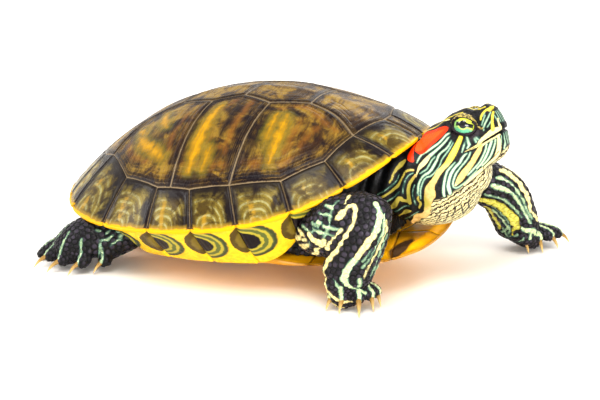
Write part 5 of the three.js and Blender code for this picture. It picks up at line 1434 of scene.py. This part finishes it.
def lay_scales(name, seeds, markings, material, chart, nodes):
    """A low dome round each seed, on the skin, with the marks under it as values."""
    tree = markings.skin_tree
    lookup = lookup_of(seeds)
    turns = np.arange(SCALE_SIDES) / SCALE_SIDES * 2 * math.pi
    points, faces, centre_of, edge, across_place = [], [], [], [], []
    for index, seed in enumerate(seeds):
        spot, normal, _, _ = tree.find_nearest(Vector(seed))
        if spot is None or spot.z < BARE_BELOW:
            continue
        normal = np.array(normal)
        spot = np.array(spot)
        east = unit(np.cross(normal, [0.2, 0.3, 0.93]))
        north = np.cross(normal, east)
        near = [np.array(place) - spot for place, other, gap in lookup.find_n(seed, 10)
                if other != index and gap < 4.5]
        if len(near) < 4:
            continue
        reach = scale_outline([(gap @ east, gap @ north) for gap in near], turns)
        height = SCALE_RISE * (0.8 + 0.4 * rng.random()) * min(1, reach.mean())
        start = len(points)
        for share, up in SCALE_RINGS:
            for turn, far in zip(turns, reach * share):
                plan = spot + east * math.cos(turn) * far + north * math.sin(turn) * far
                on_skin = tree.find_nearest(Vector(plan))
                points.append(np.array(on_skin[0]) + (np.array(on_skin[1]) + normal) / 2 * height * up)
                across_place.append((share * math.cos(turn), share * math.sin(turn)))
                edge.append(share)
        points.append(spot + normal * height)
        across_place.append((0, 0))
        edge.append(0)
        faces += grid_faces(len(SCALE_RINGS), SCALE_SIDES, closed=True, start=start)
        middle = len(points) - 1
        top = middle - SCALE_SIDES
        faces += [(top + i, top + (i + 1) % SCALE_SIDES, middle) for i in range(SCALE_SIDES)]
        centre_of += [index] * (len(points) - start)
    points = np.array(points)
    points[:, 2] = np.maximum(points[:, 2], 0.05)
    centre_of = np.array(centre_of)
    piece = new_mesh(name, points, faces)
    turn_out(piece)
    at_centres = markings.read(seeds)
    at_points = markings.read(points)
    marks = {kind: at_centres[kind][centre_of] * 0.35 + at_points[kind] * 0.65 for kind in MARKS}
    tone = rng.random(len(seeds))[centre_of]
    store(piece, edge=np.array(edge), tone=tone, **marks)
    lay_out_scales(piece, seeds, centre_of, np.array(across_place), chart)
    return finished(piece, material, nodes)


def lay_out_scales(piece, seeds, centre_of, across_place, chart):
    """A map for baking: each scale is a small patch at its own place on the unrolled limb."""
    along, turn, _ = chart.read(seeds)
    root = np.column_stack([0.03 + 0.94 * along / chart.length[-1], 0.03 + 0.94 * (turn + 180) / 360])
    flat = root[centre_of] + across_place * 0.0015
    layer = piece.data.uv_layers.new(name="OFBake")
    corner = np.empty(len(piece.data.loops), dtype=int)
    piece.data.loops.foreach_get("vertex_index", corner)
    layer.data.foreach_set("uv", flat[corner].ravel())


# ------------------------------------------------------------------ claws
def claw_body(toe, wide=1.15, tall=1.2, sides=14, rows=18):
    """A curved, tapering claw from inside its toe down to the floor, with how far along it points are."""
    line = toe_line(toe, (0.95, 1.3, 1.65, 2), (0.1, 0.9, 1.1, CLAW_TIP_HEIGHT - toe[2][2]))
    share = np.linspace(0, 1, rows)
    centres = catmull(line, share)
    ahead = unit(np.gradient(centres, axis=0))
    across = unit(np.cross([0, 0, 1], ahead))
    up = np.cross(ahead, across)
    taper = (1 - share ** 1.7) ** 0.8 * (1 - 0.12 * share) + 0.02
    turns = np.arange(sides) / sides * 2 * math.pi
    height = np.where(np.sin(turns) > 0, 1, 0.75) * np.sin(turns) * tall
    profile = np.column_stack([np.cos(turns) * wide, height])
    points = (centres[:, None] + taper[:, None, None]
              * (profile[None, :, :1] * across[:, None] + profile[None, :, 1:] * up[:, None])).reshape(-1, 3)
    points[:, 2] = np.maximum(points[:, 2], 0.02)
    return points, grid_faces(rows, sides, closed=True) + end_faces(rows, sides), np.repeat(share, sides)


def build_claws(material):
    for name, limb in LIMBS.items():
        kind, side = name.split("_")
        claws = [claw_body(toe) for number, toe in enumerate(limb["toes"]) if clawed(name, number)]
        foot = LIMB_NODES[kind][2]
        piece = new_mesh(f"claws_{foot}_{side}", *joined(claws))
        turn_out(piece)
        store(piece, tip=np.concatenate([share for _, _, share in claws]))
        finished(piece, material, [f"{foot}_{side}"])


# ------------------------------------------------------------------ eyes
EYE_SIDES = 64
CORNEA_SWELL = 0.28


def build_eyes(material):
    for side_name, side in SIDES:
        along, up, out = eye_axes(side)
        polar = np.linspace(0.0, math.pi, 40) ** 1.15 / math.pi ** 0.15
        turns = np.arange(EYE_SIDES) / EYE_SIDES * 2 * math.pi
        rings = []
        for angle in polar[1:-1]:
            radius = EYE_RADIUS + CORNEA_SWELL * math.exp(-(angle / 0.42) ** 2)
            rings.append(out * math.cos(angle) * radius + math.sin(angle) * radius
                         * (np.outer(np.cos(turns), along) + np.outer(np.sin(turns), up)))
        points = np.vstack([*rings, [out * (EYE_RADIUS + CORNEA_SWELL)], [-out * EYE_RADIUS]])
        faces = grid_faces(len(rings), EYE_SIDES, closed=True)
        last = (len(rings) - 1) * EYE_SIDES
        for i in range(EYE_SIDES):
            ahead = (i + 1) % EYE_SIDES
            faces.append((ahead, i, len(points) - 2))
            faces.append((last + i, last + ahead, len(points) - 1))
        piece = new_mesh(f"eyeball_{side_name}", head_to_body(points + EYE_CENTRE * [1, side, 1]), faces)
        turn_out(piece)
        store(piece, iris=np.column_stack([points @ along, points @ up, points @ out]))
        finished(piece, material, [f"eye_{side_name}"])


# ------------------------------------------------------------------ materials
def ink(code):
    """A linear colour from a hex code."""
    parts = [int(code[i:i + 2], 16) / 255 for i in (0, 2, 4)]
    return (*(part / 12.92 if part < 0.04045 else ((part + 0.055) / 1.055) ** 2.4 for part in parts), 1.0)


class Signal:
    """A shader socket in an expression: arithmetic on it adds Math nodes."""

    def __init__(self, paint, socket):
        self.paint = paint
        self.socket = socket

    def __add__(self, other):
        return self.paint.math("ADD", self, other)

    def __sub__(self, other):
        return self.paint.math("SUBTRACT", self, other)

    def __rsub__(self, other):
        return self.paint.math("SUBTRACT", other, self)

    def __mul__(self, other):
        return self.paint.math("MULTIPLY", self, other)

    def __neg__(self):
        return self.paint.math("MULTIPLY", self, -1)

    __radd__ = __add__
    __rmul__ = __mul__


class Paint:
    """One material and the nodes that make its finish."""

    def __init__(self, name):
        self.material = bpy.data.materials.new(name)
        self.material.use_nodes = True
        self.tree = self.material.node_tree
        self.shader = self.tree.nodes["Principled BSDF"]

    def node(self, kind, settings=None, **inputs):
        """A new node; an input goes by its name, or by its number after an underscore."""
        made = self.tree.nodes.new(kind)
        for name, value in (settings or {}).items():
            setattr(made, name, value)
        for name, value in inputs.items():
            self.join(made.inputs[int(name[1:]) if name[0] == "_" else name], value)
        return made

    def join(self, socket, value):
        if isinstance(value, Signal):
            self.tree.links.new(value.socket, socket)
        elif value is not None:
            socket.default_value = ink(value) if isinstance(value, str) else value

    def math(self, operation, first, second=None):
        made = self.node("ShaderNodeMath", {"operation": operation}, _0=first, _1=second)
        return Signal(self, made.outputs[0])

    def values(self, *names):
        """The numbers stored on the mesh under these names."""
        return [Signal(self, self.node("ShaderNodeAttribute", {"attribute_name": name}).outputs["Fac"])
                for name in names]

    def vector(self, name):
        return Signal(self, self.node("ShaderNodeAttribute", {"attribute_name": name}).outputs["Vector"])

    def millimetres(self):
        place = Signal(self, self.node("ShaderNodeTexCoord").outputs["Object"])
        return self.stretched(place, (1000, 1000, 1000))

    def stretched(self, vector, factors):
        made = self.node("ShaderNodeVectorMath", {"operation": "MULTIPLY"}, _0=vector, _1=factors)
        return Signal(self, made.outputs[0])

    def parts(self, vector):
        made = self.node("ShaderNodeSeparateXYZ", None, _0=vector)
        return [Signal(self, output) for output in made.outputs]

    def step(self, value, low, high):
        """0 below low and 1 above high, smoothly; low may be the greater of the two."""
        made = self.node("ShaderNodeMapRange", {"interpolation_type": "SMOOTHSTEP"}, _0=value, _1=float(low),
                         _2=float(high), _3=0.0, _4=1.0)
        return Signal(self, made.outputs[0])

    def noise(self, vector, stretch, detail, roughness=0.55, warp=0.0):
        """Smooth noise; stretch says how many of its waves fit in one unit, for all axes or for each."""
        if not isinstance(stretch, tuple):
            stretch = (stretch, stretch, stretch)
        made = self.node("ShaderNodeTexNoise", None, Vector=self.stretched(vector, stretch), Scale=1.0,
                         Detail=detail, Roughness=roughness, Distortion=warp)
        return Signal(self, made.outputs["Fac"])

    def cells(self, vector, scale):
        """Distance to the nearest of scattered points."""
        made = self.node("ShaderNodeTexVoronoi", None, Vector=vector, Scale=scale)
        return Signal(self, made.outputs["Distance"])

    def mix(self, first, second, share):
        """From the first colour to the second as share goes from 0 to 1; a colour may be a hex code."""
        made = self.node("ShaderNodeMix", {"data_type": "RGBA"}, _0=share, _6=first, _7=second)
        return Signal(self, made.outputs[2])

    def finish(self, colour, roughness, height=None, height_mm=0.2, **uniform):
        self.join(self.shader.inputs["Base Color"], colour)
        self.join(self.shader.inputs["Roughness"], roughness)
        if height is not None:
            made = self.node("ShaderNodeBump", None, Strength=1.0, Distance=height_mm * MM, Height=height)
            self.join(self.shader.inputs["Normal"], Signal(self, made.outputs[0]))
        for name, value in uniform.items():
            self.shader.inputs[name.replace("_", " ")].default_value = value
        return self.material


def carapace_horn():
    paint = Paint("carapace horn")
    seam, growth, bar, rust, shade = paint.values("seam", "growth", "bar", "rust", "shade")
    place = paint.vector("place")
    body = paint.millimetres()
    streaks = paint.noise(place, (0.42, 0.11, 0.5), 6.0, 0.65, 0.6)
    clouds = paint.noise(body, 0.1, 4.0, 0.6, 0.8)
    fine = paint.noise(place, (1.5, 0.32, 1.0), 6.0, 0.7, 0.3)
    ragged = fine * 3.6 + streaks * 2.4 - 3.0
    lines = paint.math("SINE", growth * 140 + fine * 6)
    colour = paint.mix("3a260f", "765820", paint.step(streaks, 0.33, 0.57))
    colour = paint.mix(colour, "8c7029", paint.step(clouds + streaks * 0.5, 0.68, 0.90) * 0.8)
    colour = paint.mix(colour, "180d14", paint.step(clouds - streaks * 0.4, 0.34, 0.18) * 0.8)
    colour = paint.mix(colour, "170c10", paint.step(fine, 0.52, 0.68) * 0.5)
    colour = paint.mix(colour, "7c4f1a", paint.step(rust + ragged, 1.8, -1.0) * 0.6)
    colour = paint.mix(colour, "120a12", paint.step(shade + ragged, 1.8, -1.4) * 0.8)
    colour = paint.mix(colour, "6c6420", paint.step(bar + ragged, 3.8, 0.0) * 0.6)
    colour = paint.mix(colour, "8e6a12", paint.step(bar + ragged, 1.8, -1.0) * 0.8)
    colour = paint.mix(colour, "bb8a0c", paint.step(bar + ragged, 0.4, -2.2) * 0.9)
    colour = paint.mix(colour, "120a10", paint.step(seam + ragged, 3.6, 1.0) * 0.85)
    rings = paint.step(lines, 0.8, 0.99) * paint.step(growth, 0.5, 0.05)
    colour = paint.mix(colour, "a8823c", rings * paint.step(clouds, 0.4, 0.6) * 0.35)
    colour = paint.mix(colour, "b09a78", paint.step(seam + fine * 0.5, 0.62, 0.36) * 0.5)
    height = fine * 0.7 + lines * 0.12 * paint.step(growth, 0.5, 0.1)
    return paint.finish(colour, fine * 0.25 + 0.14, height, 0.14, Specular_IOR_Level=0.16)


def marginal_horn():
    paint = Paint("marginal horn")
    seam, inner, rim, across, growth = paint.values("seam", "inner", "rim", "across", "growth")
    body = paint.millimetres()
    grain = paint.noise(body, 0.5, 6.0, 0.65, 0.3)
    fine = paint.noise(body, 1.7, 5.0, 0.65, 0.2)
    broad = paint.noise(body, 0.16, 4.0, 0.6, 0.5)
    lines = paint.math("SINE", growth * 36 + grain * 2.4)
    colour = paint.mix("4a3b16", "7d6c2c", paint.step(broad, 0.4, 0.6))
    colour = paint.mix(colour, "2a1c14", paint.step(fine, 0.5, 0.68) * 0.5)
    pale_lines = paint.step(lines, 0.3, 0.98) * paint.step(growth, 0.95, 0.55) * paint.step(broad, 0.4, 0.58)
    colour = paint.mix(colour, "a5a57a", pale_lines * paint.step(grain, 0.3, 0.55) * 0.55)
    colour = paint.mix(colour, "2c2012", paint.step(lines, -0.3, -0.98) * 0.3)
    bar = paint.math("ABSOLUTE", across - 0.66 + grain * 0.12 - 0.06)
    bar = paint.step(bar, 0.08, 0.02) * paint.step(inner, 4, 8) * paint.step(broad, 0.46, 0.6)
    colour = paint.mix(colour, "b5871a", bar * 0.5)
    edges = paint.step(across + broad * 0.5, 0.56, 0.34) + paint.step(across + broad * 0.16, 0.9, 1.04)
    edges = paint.math("MAXIMUM", edges, paint.step(inner + broad * 6, 10, 5))
    colour = paint.mix(colour, "110a12", paint.math("MINIMUM", edges, 1.0) * 0.92)
    uneven_rim = rim + broad * 3 + grain * 0.8
    colour = paint.mix(colour, "a8862a", paint.step(uneven_rim, 5.2, 3.6) * 0.6)
    colour = paint.mix(colour, "dca50c", paint.step(uneven_rim, 3.6, 2.9))
    spot = paint.step(seam + grain * 1.5 + rim * 0.16, 2.7, 1.9) * paint.step(rim, 0.4, 1.0)
    colour = paint.mix(colour, "160e14", spot * 0.92)
    groove = paint.step(seam + fine * 0.5, 0.6, 0.36) * paint.step(rim, 0.6, 1.6)
    colour = paint.mix(colour, "9c8664", groove * 0.45)
    colour = paint.mix(colour, under_marginal(paint, rim, across, grain, fine), paint.step(rim, -0.3, -1.2))
    return paint.finish(colour, grain * 0.2 + 0.12, fine * 0.6 + lines * 0.15, 0.12, Specular_IOR_Level=0.16)


def under_marginal(paint, rim, across, grain, fine):
    """Yellow with a dark eye at each seam, ringed with olive and open towards the next plate."""
    ahead = (1 - across) * 15 + grain * 2 - 1
    behind = across * 17 + grain * 2 - 1
    depth = -rim - 8
    ring = paint.math("SQRT", ahead * ahead + depth * depth * 1.1)
    other = paint.math("SQRT", behind * behind * 2.6 + depth * depth * 1.2)
    bands = paint.math("SINE", ring * 2.7)
    eye_colour = paint.mix("59602f", "a89a36", paint.step(bands, -0.2, 0.5))
    colour = paint.mix("f0c824", "e0b020", paint.step(grain, 0.4, 0.6))
    colour = paint.mix(colour, eye_colour, paint.step(ring, 9.8, 9.2))
    colour = paint.mix(colour, "2e3526", paint.step(ring, 10.0, 9.4) * paint.step(ring, 8.2, 8.8) * 0.8)
    colour = paint.mix(colour, "140d12", paint.step(ring + fine, 5.6, 4.8))
    patch = paint.step(other, 7.6, 7.0) * paint.step(across, 0.52, 0.45)
    patch_colour = paint.mix("5c5022", "211a14", paint.step(other + fine, 3.6, 5.4))
    return paint.mix(colour, patch_colour, patch * 0.92)


def plastron_horn():
    paint = Paint("plastron horn")
    seam, blot = paint.values("seam", "blot")
    body = paint.millimetres()
    grain = paint.noise(body, 0.4, 6.0, 0.65, 0.4)
    fine = paint.noise(body, 2, 4.0, 0.6)
    colour = paint.mix("ffbc14", "f5a208", paint.step(grain, 0.4, 0.7) * 0.7)
    dark = paint.step(blot + grain * 0.3 - 0.15, 1.05, 0.9)
    colour = paint.mix(colour, "33292c", dark * 0.94)
    colour = paint.mix(colour, "7a5a1c", paint.step(blot, 1.25, 1.05) * (1 - dark) * 0.6)
    colour = paint.mix(colour, "8a5a1a", paint.step(seam, 0.5, 0.2) * 0.7)
    return paint.finish(colour, grain * 0.15 + 0.25, fine, 0.05, Coat_Weight=0.06, Specular_IOR_Level=0.3)


def claw_horn():
    paint = Paint("claw horn")
    tip, = paint.values("tip")
    grain = paint.noise(paint.millimetres(), (2.5, 2.5, 0.8), 4.0, 0.6)
    colour = paint.mix("33261a", "907038", paint.step(tip + grain * 0.3, 0.2, 0.55))
    colour = paint.mix(colour, "d8b878", paint.step(tip + grain * 0.3, 0.6, 1.1) * 0.8)
    return paint.finish(colour, 0.3, grain, 0.05, Specular_IOR_Level=0.3)


def eye_gloss():
    paint = Paint("eye")
    along, up, _ = paint.parts(paint.vector("iris"))
    up = up + 0.5
    radius = paint.math("SQRT", along * along + up * up)
    turn = paint.noise(paint.vector("iris"), (1.8, 1.8, 0.5), 4.0, 0.6)
    colour = paint.mix("8fc070", "c6cf3e", paint.step(up + along * 0.5 + turn, -0.4, 1.6))
    colour = paint.mix(colour, "4fa98c", paint.step(up + turn, -0.2, -1.4) * 0.8)
    colour = paint.mix(colour, "14231b", paint.step(turn, 0.5, 0.68) * 0.35)
    bar = paint.step(paint.math("ABSOLUTE", up + turn * 0.3 - 0.15), 0.78, 0.62)
    reach = paint.step(paint.math("ABSOLUTE", along - 0.35), 3.1, 2.9)
    colour = paint.mix(colour, "0b0d0c", bar * reach)
    colour = paint.mix(colour, "050606", paint.step(radius, 1.5, 1.35))
    ring = paint.step(radius, 1.5, 1.62) * paint.step(radius, 1.95, 1.8)
    colour = paint.mix(colour, "d6d85a", ring * (1 - bar) * 0.8)
    colour = paint.mix(colour, "151a14", paint.step(radius, 3.3, 3.8) * 0.9)
    return paint.finish(colour, 0.08, None, Coat_Weight=0.6, Coat_Roughness=0.03, Specular_IOR_Level=0.3)


# The edges and cores of the green marks, then of the yellow ones.
HEAD_TINTS = ("7f9f88", "cfdcb0", "cdbb40", "e6d65c")
LIMB_TINTS = ("8ea884", "c4d09c", "a8a43c", "c4c060")


def marked(paint, ground, marks, tints, soft=0.09):
    """Lays the marks over a ground colour; each value is the distance to the edge of its marks."""
    green, cream, yellow, red, dark = marks
    green_edge, green_core, yellow_edge, yellow_core = tints
    colour = paint.mix(ground, "2c4a42", paint.step(green, 0.34, 0.1) * 0.85)
    colour = paint.mix(colour, green_edge, paint.step(green, soft, -soft))
    colour = paint.mix(colour, green_core, paint.step(green, -0.08, -0.4))
    colour = paint.mix(colour, "7a7350", paint.step(cream, 0.3, 0.1) * 0.5)
    colour = paint.mix(colour, "e6d798", paint.step(cream, soft, -soft))
    colour = paint.mix(colour, "7c7030", paint.step(yellow, 0.3, 0.1) * 0.5)
    colour = paint.mix(colour, yellow_edge, paint.step(yellow, soft, -soft))
    colour = paint.mix(colour, yellow_core, paint.step(yellow, -0.15, -0.5))
    colour = paint.mix(colour, "2a100e", paint.step(red, 0.4, 0.1) * 0.8)
    colour = paint.mix(colour, "e8380a", paint.step(red, soft, -soft))
    colour = paint.mix(colour, "f87020", paint.step(red, -0.9, -2.0) * 0.45)
    return paint.mix(colour, "241d1c", paint.step(dark, 0.12, -0.05) * 0.9)


def skin_hide():
    paint = Paint("skin")
    body = paint.millimetres()
    grain = paint.noise(body, 0.8, 5.0, 0.6)
    wobble = paint.noise(body, 1.6, 2.0, 0.5) * 0.3 - 0.15
    beads = paint.cells(body, 1.25)
    throat, lid, warm, olive = paint.values("throat", "lid", "warm", "olive")
    face = paint.vector("face")
    ground = paint.mix("0e100f", "211f22", paint.step(grain, 0.4, 0.7))
    cream = paint.mix("efe2b0", "d6c48c", paint.step(grain, 0.4, 0.65))
    along, across, up = paint.parts(face)
    bent = paint.noise(face, (0.4, 0.25, 0.25), 4.0, 0.65) * 17
    round_throat = up * 1.1 + paint.math("ABSOLUTE", across) * 0.9
    lines = paint.math("SINE", round_throat * 2.9 + along * 0.5 + bent)
    cream = paint.mix(cream, "b89a58", paint.step(lines + grain * 0.6, 0.2, 0.7) * 0.6)
    cream = paint.mix(cream, "241410", paint.step(lines + grain * 0.6, 0.66, 0.92))
    cream = paint.mix(cream, "8f9c74", paint.step(lines - grain, -1.0, -1.3) * 0.7)
    ground = paint.mix(ground, cream, throat)
    marks = [mark + wobble for mark in paint.values(*MARKS)]
    colour = marked(paint, ground, marks, HEAD_TINTS)
    yellow_part = paint.step(marks[2], 0.05, -0.05)
    # the yellow marks on the neck behind the head and low on the jaw turn tan cream
    tan_cream = paint.mix("dcb87a", "c49e6c", paint.step(grain, 0.4, 0.65))
    colour = paint.mix(colour, tan_cream, warm * yellow_part * 0.9)
    colour = paint.mix(colour, "a0963c", olive * yellow_part * 0.9)
    specks = paint.cells(body, 2.0)
    lid_up = paint.mix("b8a55a", "6a5828", paint.step(grain + specks * 0.5, 0.6, 1.0))
    lid_up = paint.mix(lid_up, "1c1512", paint.step(specks, 0.5, 0.66) * 0.8)
    colour = paint.mix(colour, lid_up, paint.step(lid, 0.35, 0.75))
    colour = paint.mix(colour, "221a20", paint.step(lid, -0.35, -0.75))
    return paint.finish(colour, grain * 0.2 + 0.26, beads * 0.6 + grain, 0.16, Specular_IOR_Level=0.22)


def scale_hide():
    paint = Paint("scales")
    grain = paint.noise(paint.millimetres(), 1.3, 4.0, 0.6)
    edge, tone = paint.values("edge", "tone")
    ground = paint.mix("19161b", "3a343f", paint.step(tone + grain * 0.5, 0.3, 1.3))
    ground = paint.mix(ground, "09090a", paint.step(edge, 0.55, 0.95))
    colour = marked(paint, ground, paint.values(*MARKS), LIMB_TINTS, 0.2)
    colour = paint.mix(colour, "101010", paint.step(edge, 0.8, 1.0) * 0.8)
    return paint.finish(colour, grain * 0.2 + 0.26, grain, 0.06, Specular_IOR_Level=0.22)


# ------------------------------------------------------------------ camera, light and floor
CAMERA_PLACE = (239.0, -446.4, 185.8)
CAMERA_AZIMUTH = math.radians(30)
CAMERA_HEIGHT_ANGLE = math.radians(17)
CAMERA_FIELD = math.radians(25)
CAMERA_SHIFT = (0.0814, -0.0364)
FLOOR_REACH = 4000


def build_camera():
    data = bpy.data.cameras.new("camera")
    camera = bpy.data.objects.new("camera", data)
    bpy.context.scene.collection.objects.link(camera)
    camera.location = Vector(CAMERA_PLACE) * MM
    camera.rotation_euler = (math.pi / 2 - CAMERA_HEIGHT_ANGLE, 0, CAMERA_AZIMUTH)
    data.sensor_width = 36
    data.lens = 18 / math.tan(CAMERA_FIELD / 2)
    data.shift_x, data.shift_y = CAMERA_SHIFT
    data.clip_start = 0.01
    bpy.context.scene.camera = camera


def area_light(name, place, target, size, watts, colour=(1, 1, 1)):
    data = bpy.data.lights.new(name, "AREA")
    data.shape = "RECTANGLE"
    data.size, data.size_y = size
    data.energy = watts
    data.color = colour
    light = bpy.data.objects.new(name, data)
    light.location = place
    light.rotation_euler = (Vector(target) - Vector(place)).to_track_quat("-Z", "Y").to_euler()
    bpy.context.scene.collection.objects.link(light)


def build_studio():
    corners = [[x * FLOOR_REACH, y * FLOOR_REACH, -0.05] for x, y in ((-1, -1), (1, -1), (1, 1), (-1, 1))]
    floor = new_mesh("floor", corners, [(0, 1, 2, 3)])
    paint = Paint("floor")
    mottle = paint.noise(paint.millimetres(), 0.02, 4.0)
    floor.data.materials.append(paint.finish(paint.mix("fbf8f4", "f6f0e8", mottle), 0.75, None))
    world = bpy.data.worlds.new("studio")
    bpy.context.scene.world = world
    world.use_nodes = True
    background = world.node_tree.nodes["Background"]
    background.inputs["Color"].default_value = (1.0, 0.995, 0.985, 1)
    background.inputs["Strength"].default_value = 0.92
    area_light("key", (0.15, -0.35, 0.75), (0, 0, 0.03), (0.5, 0.35), 4.2, (1.0, 0.98, 0.94))
    area_light("side", (-0.68, -0.40, 0.43), (0, 0, 0.03), (0.22, 0.3), 2.2)
    area_light("low", (0.42, -0.36, 0.08), (0.03, 0, 0.02), (0.3, 0.12), 1.7)
    area_light("back", (0.1, 0.7, 0.6), (0, 0, 0.03), (0.8, 0.4), 3)
    bpy.context.scene.view_settings.view_transform = "Standard"
    bpy.context.scene.view_settings.look = "Medium High Contrast"


# ------------------------------------------------------------------ the whole animal
def lid_tone(head_points):
    """1 on the upper eyelid, -1 on the lower one, 0 elsewhere."""
    tone = np.zeros(len(head_points))
    for side in (1, -1):
        away = head_points - EYE_CENTRE * [1, side, 1]
        opening, tall = eye_opening(away, side)
        beside = (away[:, 1] * side > 0) & (np.linalg.norm(away, axis=1) < 7)
        upper = ramp(2.4, 2.1, opening) * (tall > 0.3)
        lower = ramp(1.3, 1.18, opening) * (tall <= 0.3)
        tone += np.where(opening < 1.06, -1, upper - lower) * beside
    return tone


# The line between the cream of the chin and throat and the striped skin above, along the head.
THROAT_LINE = np.array([[-16, -19.5], [-8, -19], [-3, -17.6], [0, -14.8], [6, -15.6], [13, -15.3],
                        [20, -13.8], [26, -12.4], [32, -9.8]])


def build_skin(material):
    skin = rough_skin()
    finer_head(skin)
    shape_head(skin)
    shape_neck(skin)
    markings = Markings(skin)
    points = points_of(skin)
    in_head = body_to_head(points)
    along, across, up = in_head.T
    near_head = (points[:, 0] > 60) & (np.abs(across) < 20)
    over_throat = up - np.interp(along, *THROAT_LINE.T) + 0.5 * ripple(points, 3, 51)
    throat = ramp(0.5, -0.5, over_throat) * near_head
    warm = np.maximum(ramp(13, 8, along), ramp(-5, -6, up)) * near_head
    olive = ramp(1, -1, along) * ramp(-17, -15, up) * near_head
    store(skin, throat=throat, warm=warm, olive=olive, face=in_head, lid=lid_tone(in_head) * near_head)
    store(skin, **markings.read(points))
    nodes = ["head", "jaw", "neck_front", "neck_base", "tail_root", "tail_tip", "trunk"]
    for name in LIMBS:
        kind, side = name.split("_")
        nodes += [f"{node}_{side}" for node in LIMB_NODES[kind]]
    return finished(skin, material, nodes), markings


build_camera()
build_studio()
build_carapace(carapace_horn())
build_marginals(marginal_horn())
build_plastron(plastron_horn())
skin, markings = build_skin(skin_hide())
scale_finish = scale_hide()
for limb_name in LIMBS:
    build_scales(limb_name, skin, markings, scale_finish)
build_eyes(eye_gloss())
build_claws(claw_horn())
